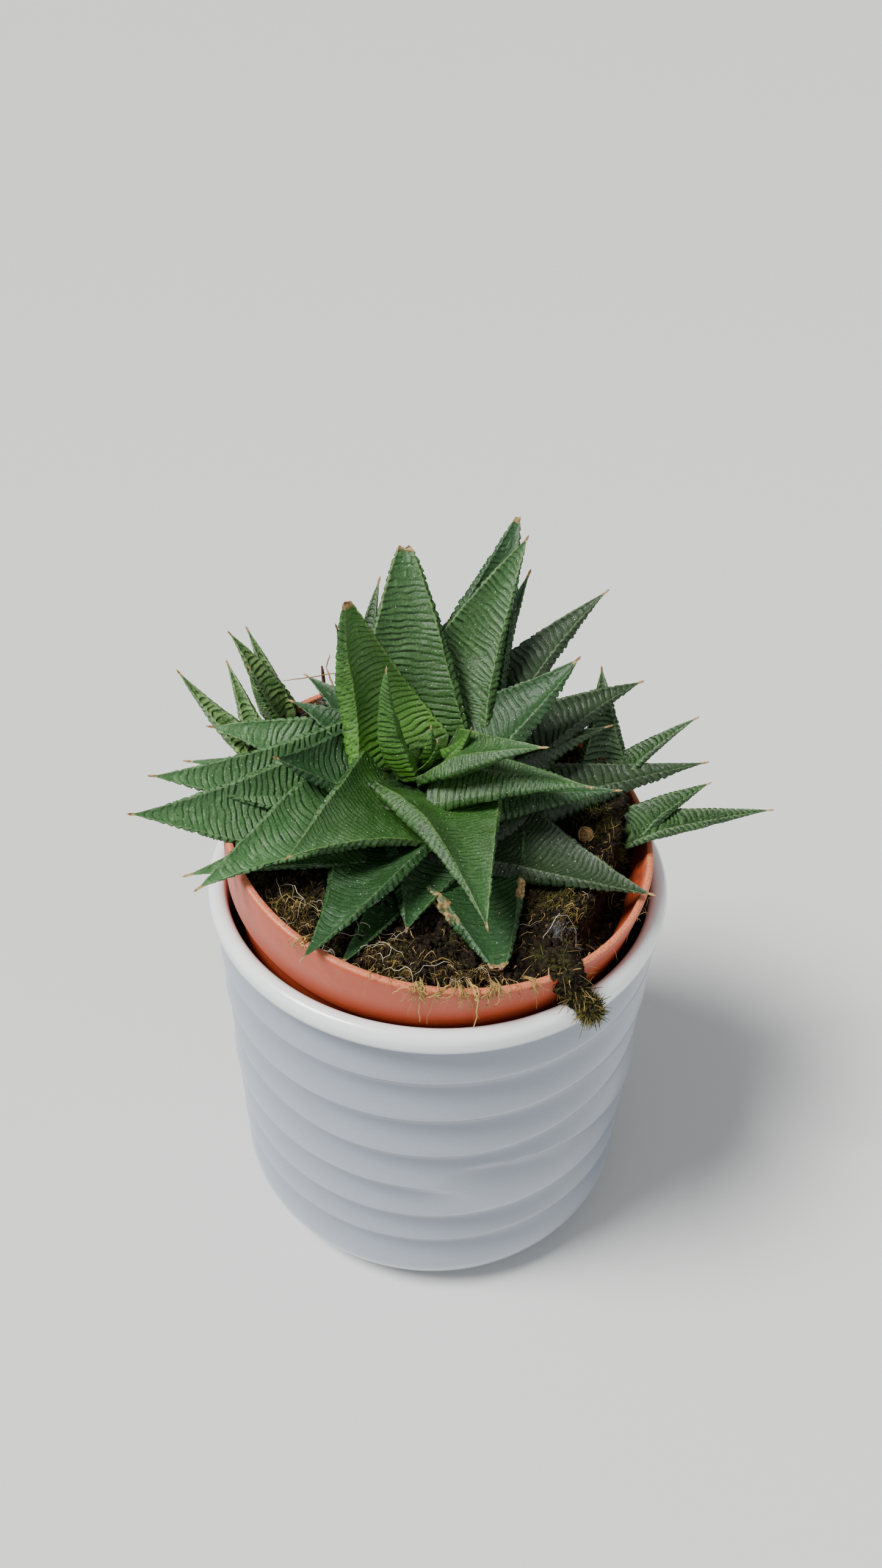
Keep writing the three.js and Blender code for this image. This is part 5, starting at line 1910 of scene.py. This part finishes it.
@dataclass(frozen=True)
class Studio:
    """Camera at the photograph's angle, plain pale floor and soft light.

    The camera's place is in millimetres. The lamps, what they point at and the floor are in metres.
    """

    camera_at: Triple = (0.0, -206.5836, 281.0206)
    pitch: float = 37.796
    yaw: float = 0.0198
    roll: float = 1.5577
    focal_pixels: float = 1940.0
    photo_height: float = 2569.0
    sensor: float = 36.0
    key_at: Triple = (-0.52, -0.16, 0.85)
    key_width: float = 22.0
    key_power: float = 5.2
    key_colour: Triple = (1.0, 0.99, 0.97)
    fill_at: Triple = (0.6, -0.9, 0.8)
    fill_size: float = 1.0
    fill_power: float = 3.0
    fill_colour: Triple = (0.96, 0.98, 1.0)
    plant_at: Triple = (0.0, 0.0, 0.09)
    sky: Triple = (0.95, 0.97, 1.0)
    sky_power: float = 0.36
    floor: Triple = (0.72, 0.72, 0.71)
    floor_half: float = 4.0
    floor_roughness: float = 0.65

    def build_camera(self) -> None:
        """Makes the camera and sets it as the scene's."""
        pitch, yaw, roll = (math.radians(value) for value in (self.pitch, self.yaw, self.roll))
        forward = Vector((math.sin(yaw) * math.cos(pitch), math.cos(yaw) * math.cos(pitch), -math.sin(pitch)))
        right = forward.cross(Vector((0, 0, 1))).normalized()
        up = right.cross(forward)
        rolled_right = math.cos(roll) * right + math.sin(roll) * up
        rolled_up = -math.sin(roll) * right + math.cos(roll) * up
        data = bpy.data.cameras.new("photo_camera")
        data.sensor_width = self.sensor
        data.lens = self.sensor * self.focal_pixels / self.photo_height
        data.clip_start, data.clip_end = 0.01, 20.0
        camera = bpy.data.objects.new("photo_camera", data)
        turned = Matrix((rolled_right, rolled_up, -forward)).transposed().to_4x4()
        camera.matrix_world = Matrix.Translation(Vector(self.camera_at) * MM) @ turned
        bpy.context.scene.collection.objects.link(camera)
        bpy.context.scene.camera = camera

    def lamp(self, name: str, kind: str, at: Triple, target: Triple, power: float,
             colour: Triple) -> bpy.types.Light:
        """Makes one light.

        Args:
            name: Its name.
            kind: Blender's type of light.
            at: Where it shines from.
            target: Where it shines to.
            power: Power in watts, or for a sun in watts for a square metre.
            colour: Its colour.

        Returns:
            The light's data.
        """
        data = bpy.data.lights.new(name, kind)
        data.energy, data.color = power, colour
        light = bpy.data.objects.new(name, data)
        light.location = at
        light.rotation_mode = "QUATERNION"
        light.rotation_quaternion = (Vector(target) - Vector(at)).to_track_quat("-Z", "Y")
        bpy.context.scene.collection.objects.link(light)
        return data

    def build(self) -> None:
        """Makes camera, lights, sky and floor."""
        self.build_camera()
        key = self.lamp("key", "SUN", self.key_at, (0.0, 0.0, 0.0), self.key_power, self.key_colour)
        key.angle = math.radians(self.key_width)
        fill = self.lamp("fill", "AREA", self.fill_at, self.plant_at, self.fill_power, self.fill_colour)
        fill.shape, fill.size = "SQUARE", self.fill_size
        world = bpy.data.worlds.new("studio")
        world.use_nodes = True
        background = world.node_tree.nodes["Background"]
        background.inputs["Color"].default_value = (*self.sky, 1.0)
        background.inputs["Strength"].default_value = self.sky_power
        bpy.context.scene.world = world
        mesh = bpy.data.meshes.new("floor")
        half = self.floor_half
        corners = [(-half, -half, 0), (half, -half, 0), (half, half, 0), (-half, half, 0)]
        mesh.from_pydata(corners, [], [(0, 1, 2, 3)])
        mesh.materials.append(Nodes("floor").finish(self.floor, self.floor_roughness))
        floor = bpy.data.objects.new("floor", mesh)
        bpy.context.scene.collection.objects.link(floor)


# ------------------------------------------------------------------ assembly


def main() -> None:
    """Builds the dressed part, sub-assembly by sub-assembly."""
    logging.basicConfig(level=logging.INFO, format="%(message)s")
    Studio().build()
    CoverPot().build(GlazeFinish().build())
    nursery = NurseryPot()
    nursery.build(PlasticFinish().build())
    soil = Soil(nursery)
    peat = SoilFinish().build()
    soil.build_bed(peat)
    Dressing(soil).build(peat)
    finishes = {kind: kind.value.build() for kind in LeafKind}
    stem_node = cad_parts["stem"]
    stem_node.data.materials.clear()
    stem_node.data.materials.append(finishes[LeafKind.OUTER])
    Rosette(Stem(), finishes).build()
    for number, offset in enumerate(OFFSETS):
        offset.build(finishes, seed=3000 + 100 * number)


if __name__ == "__main__":
    main()
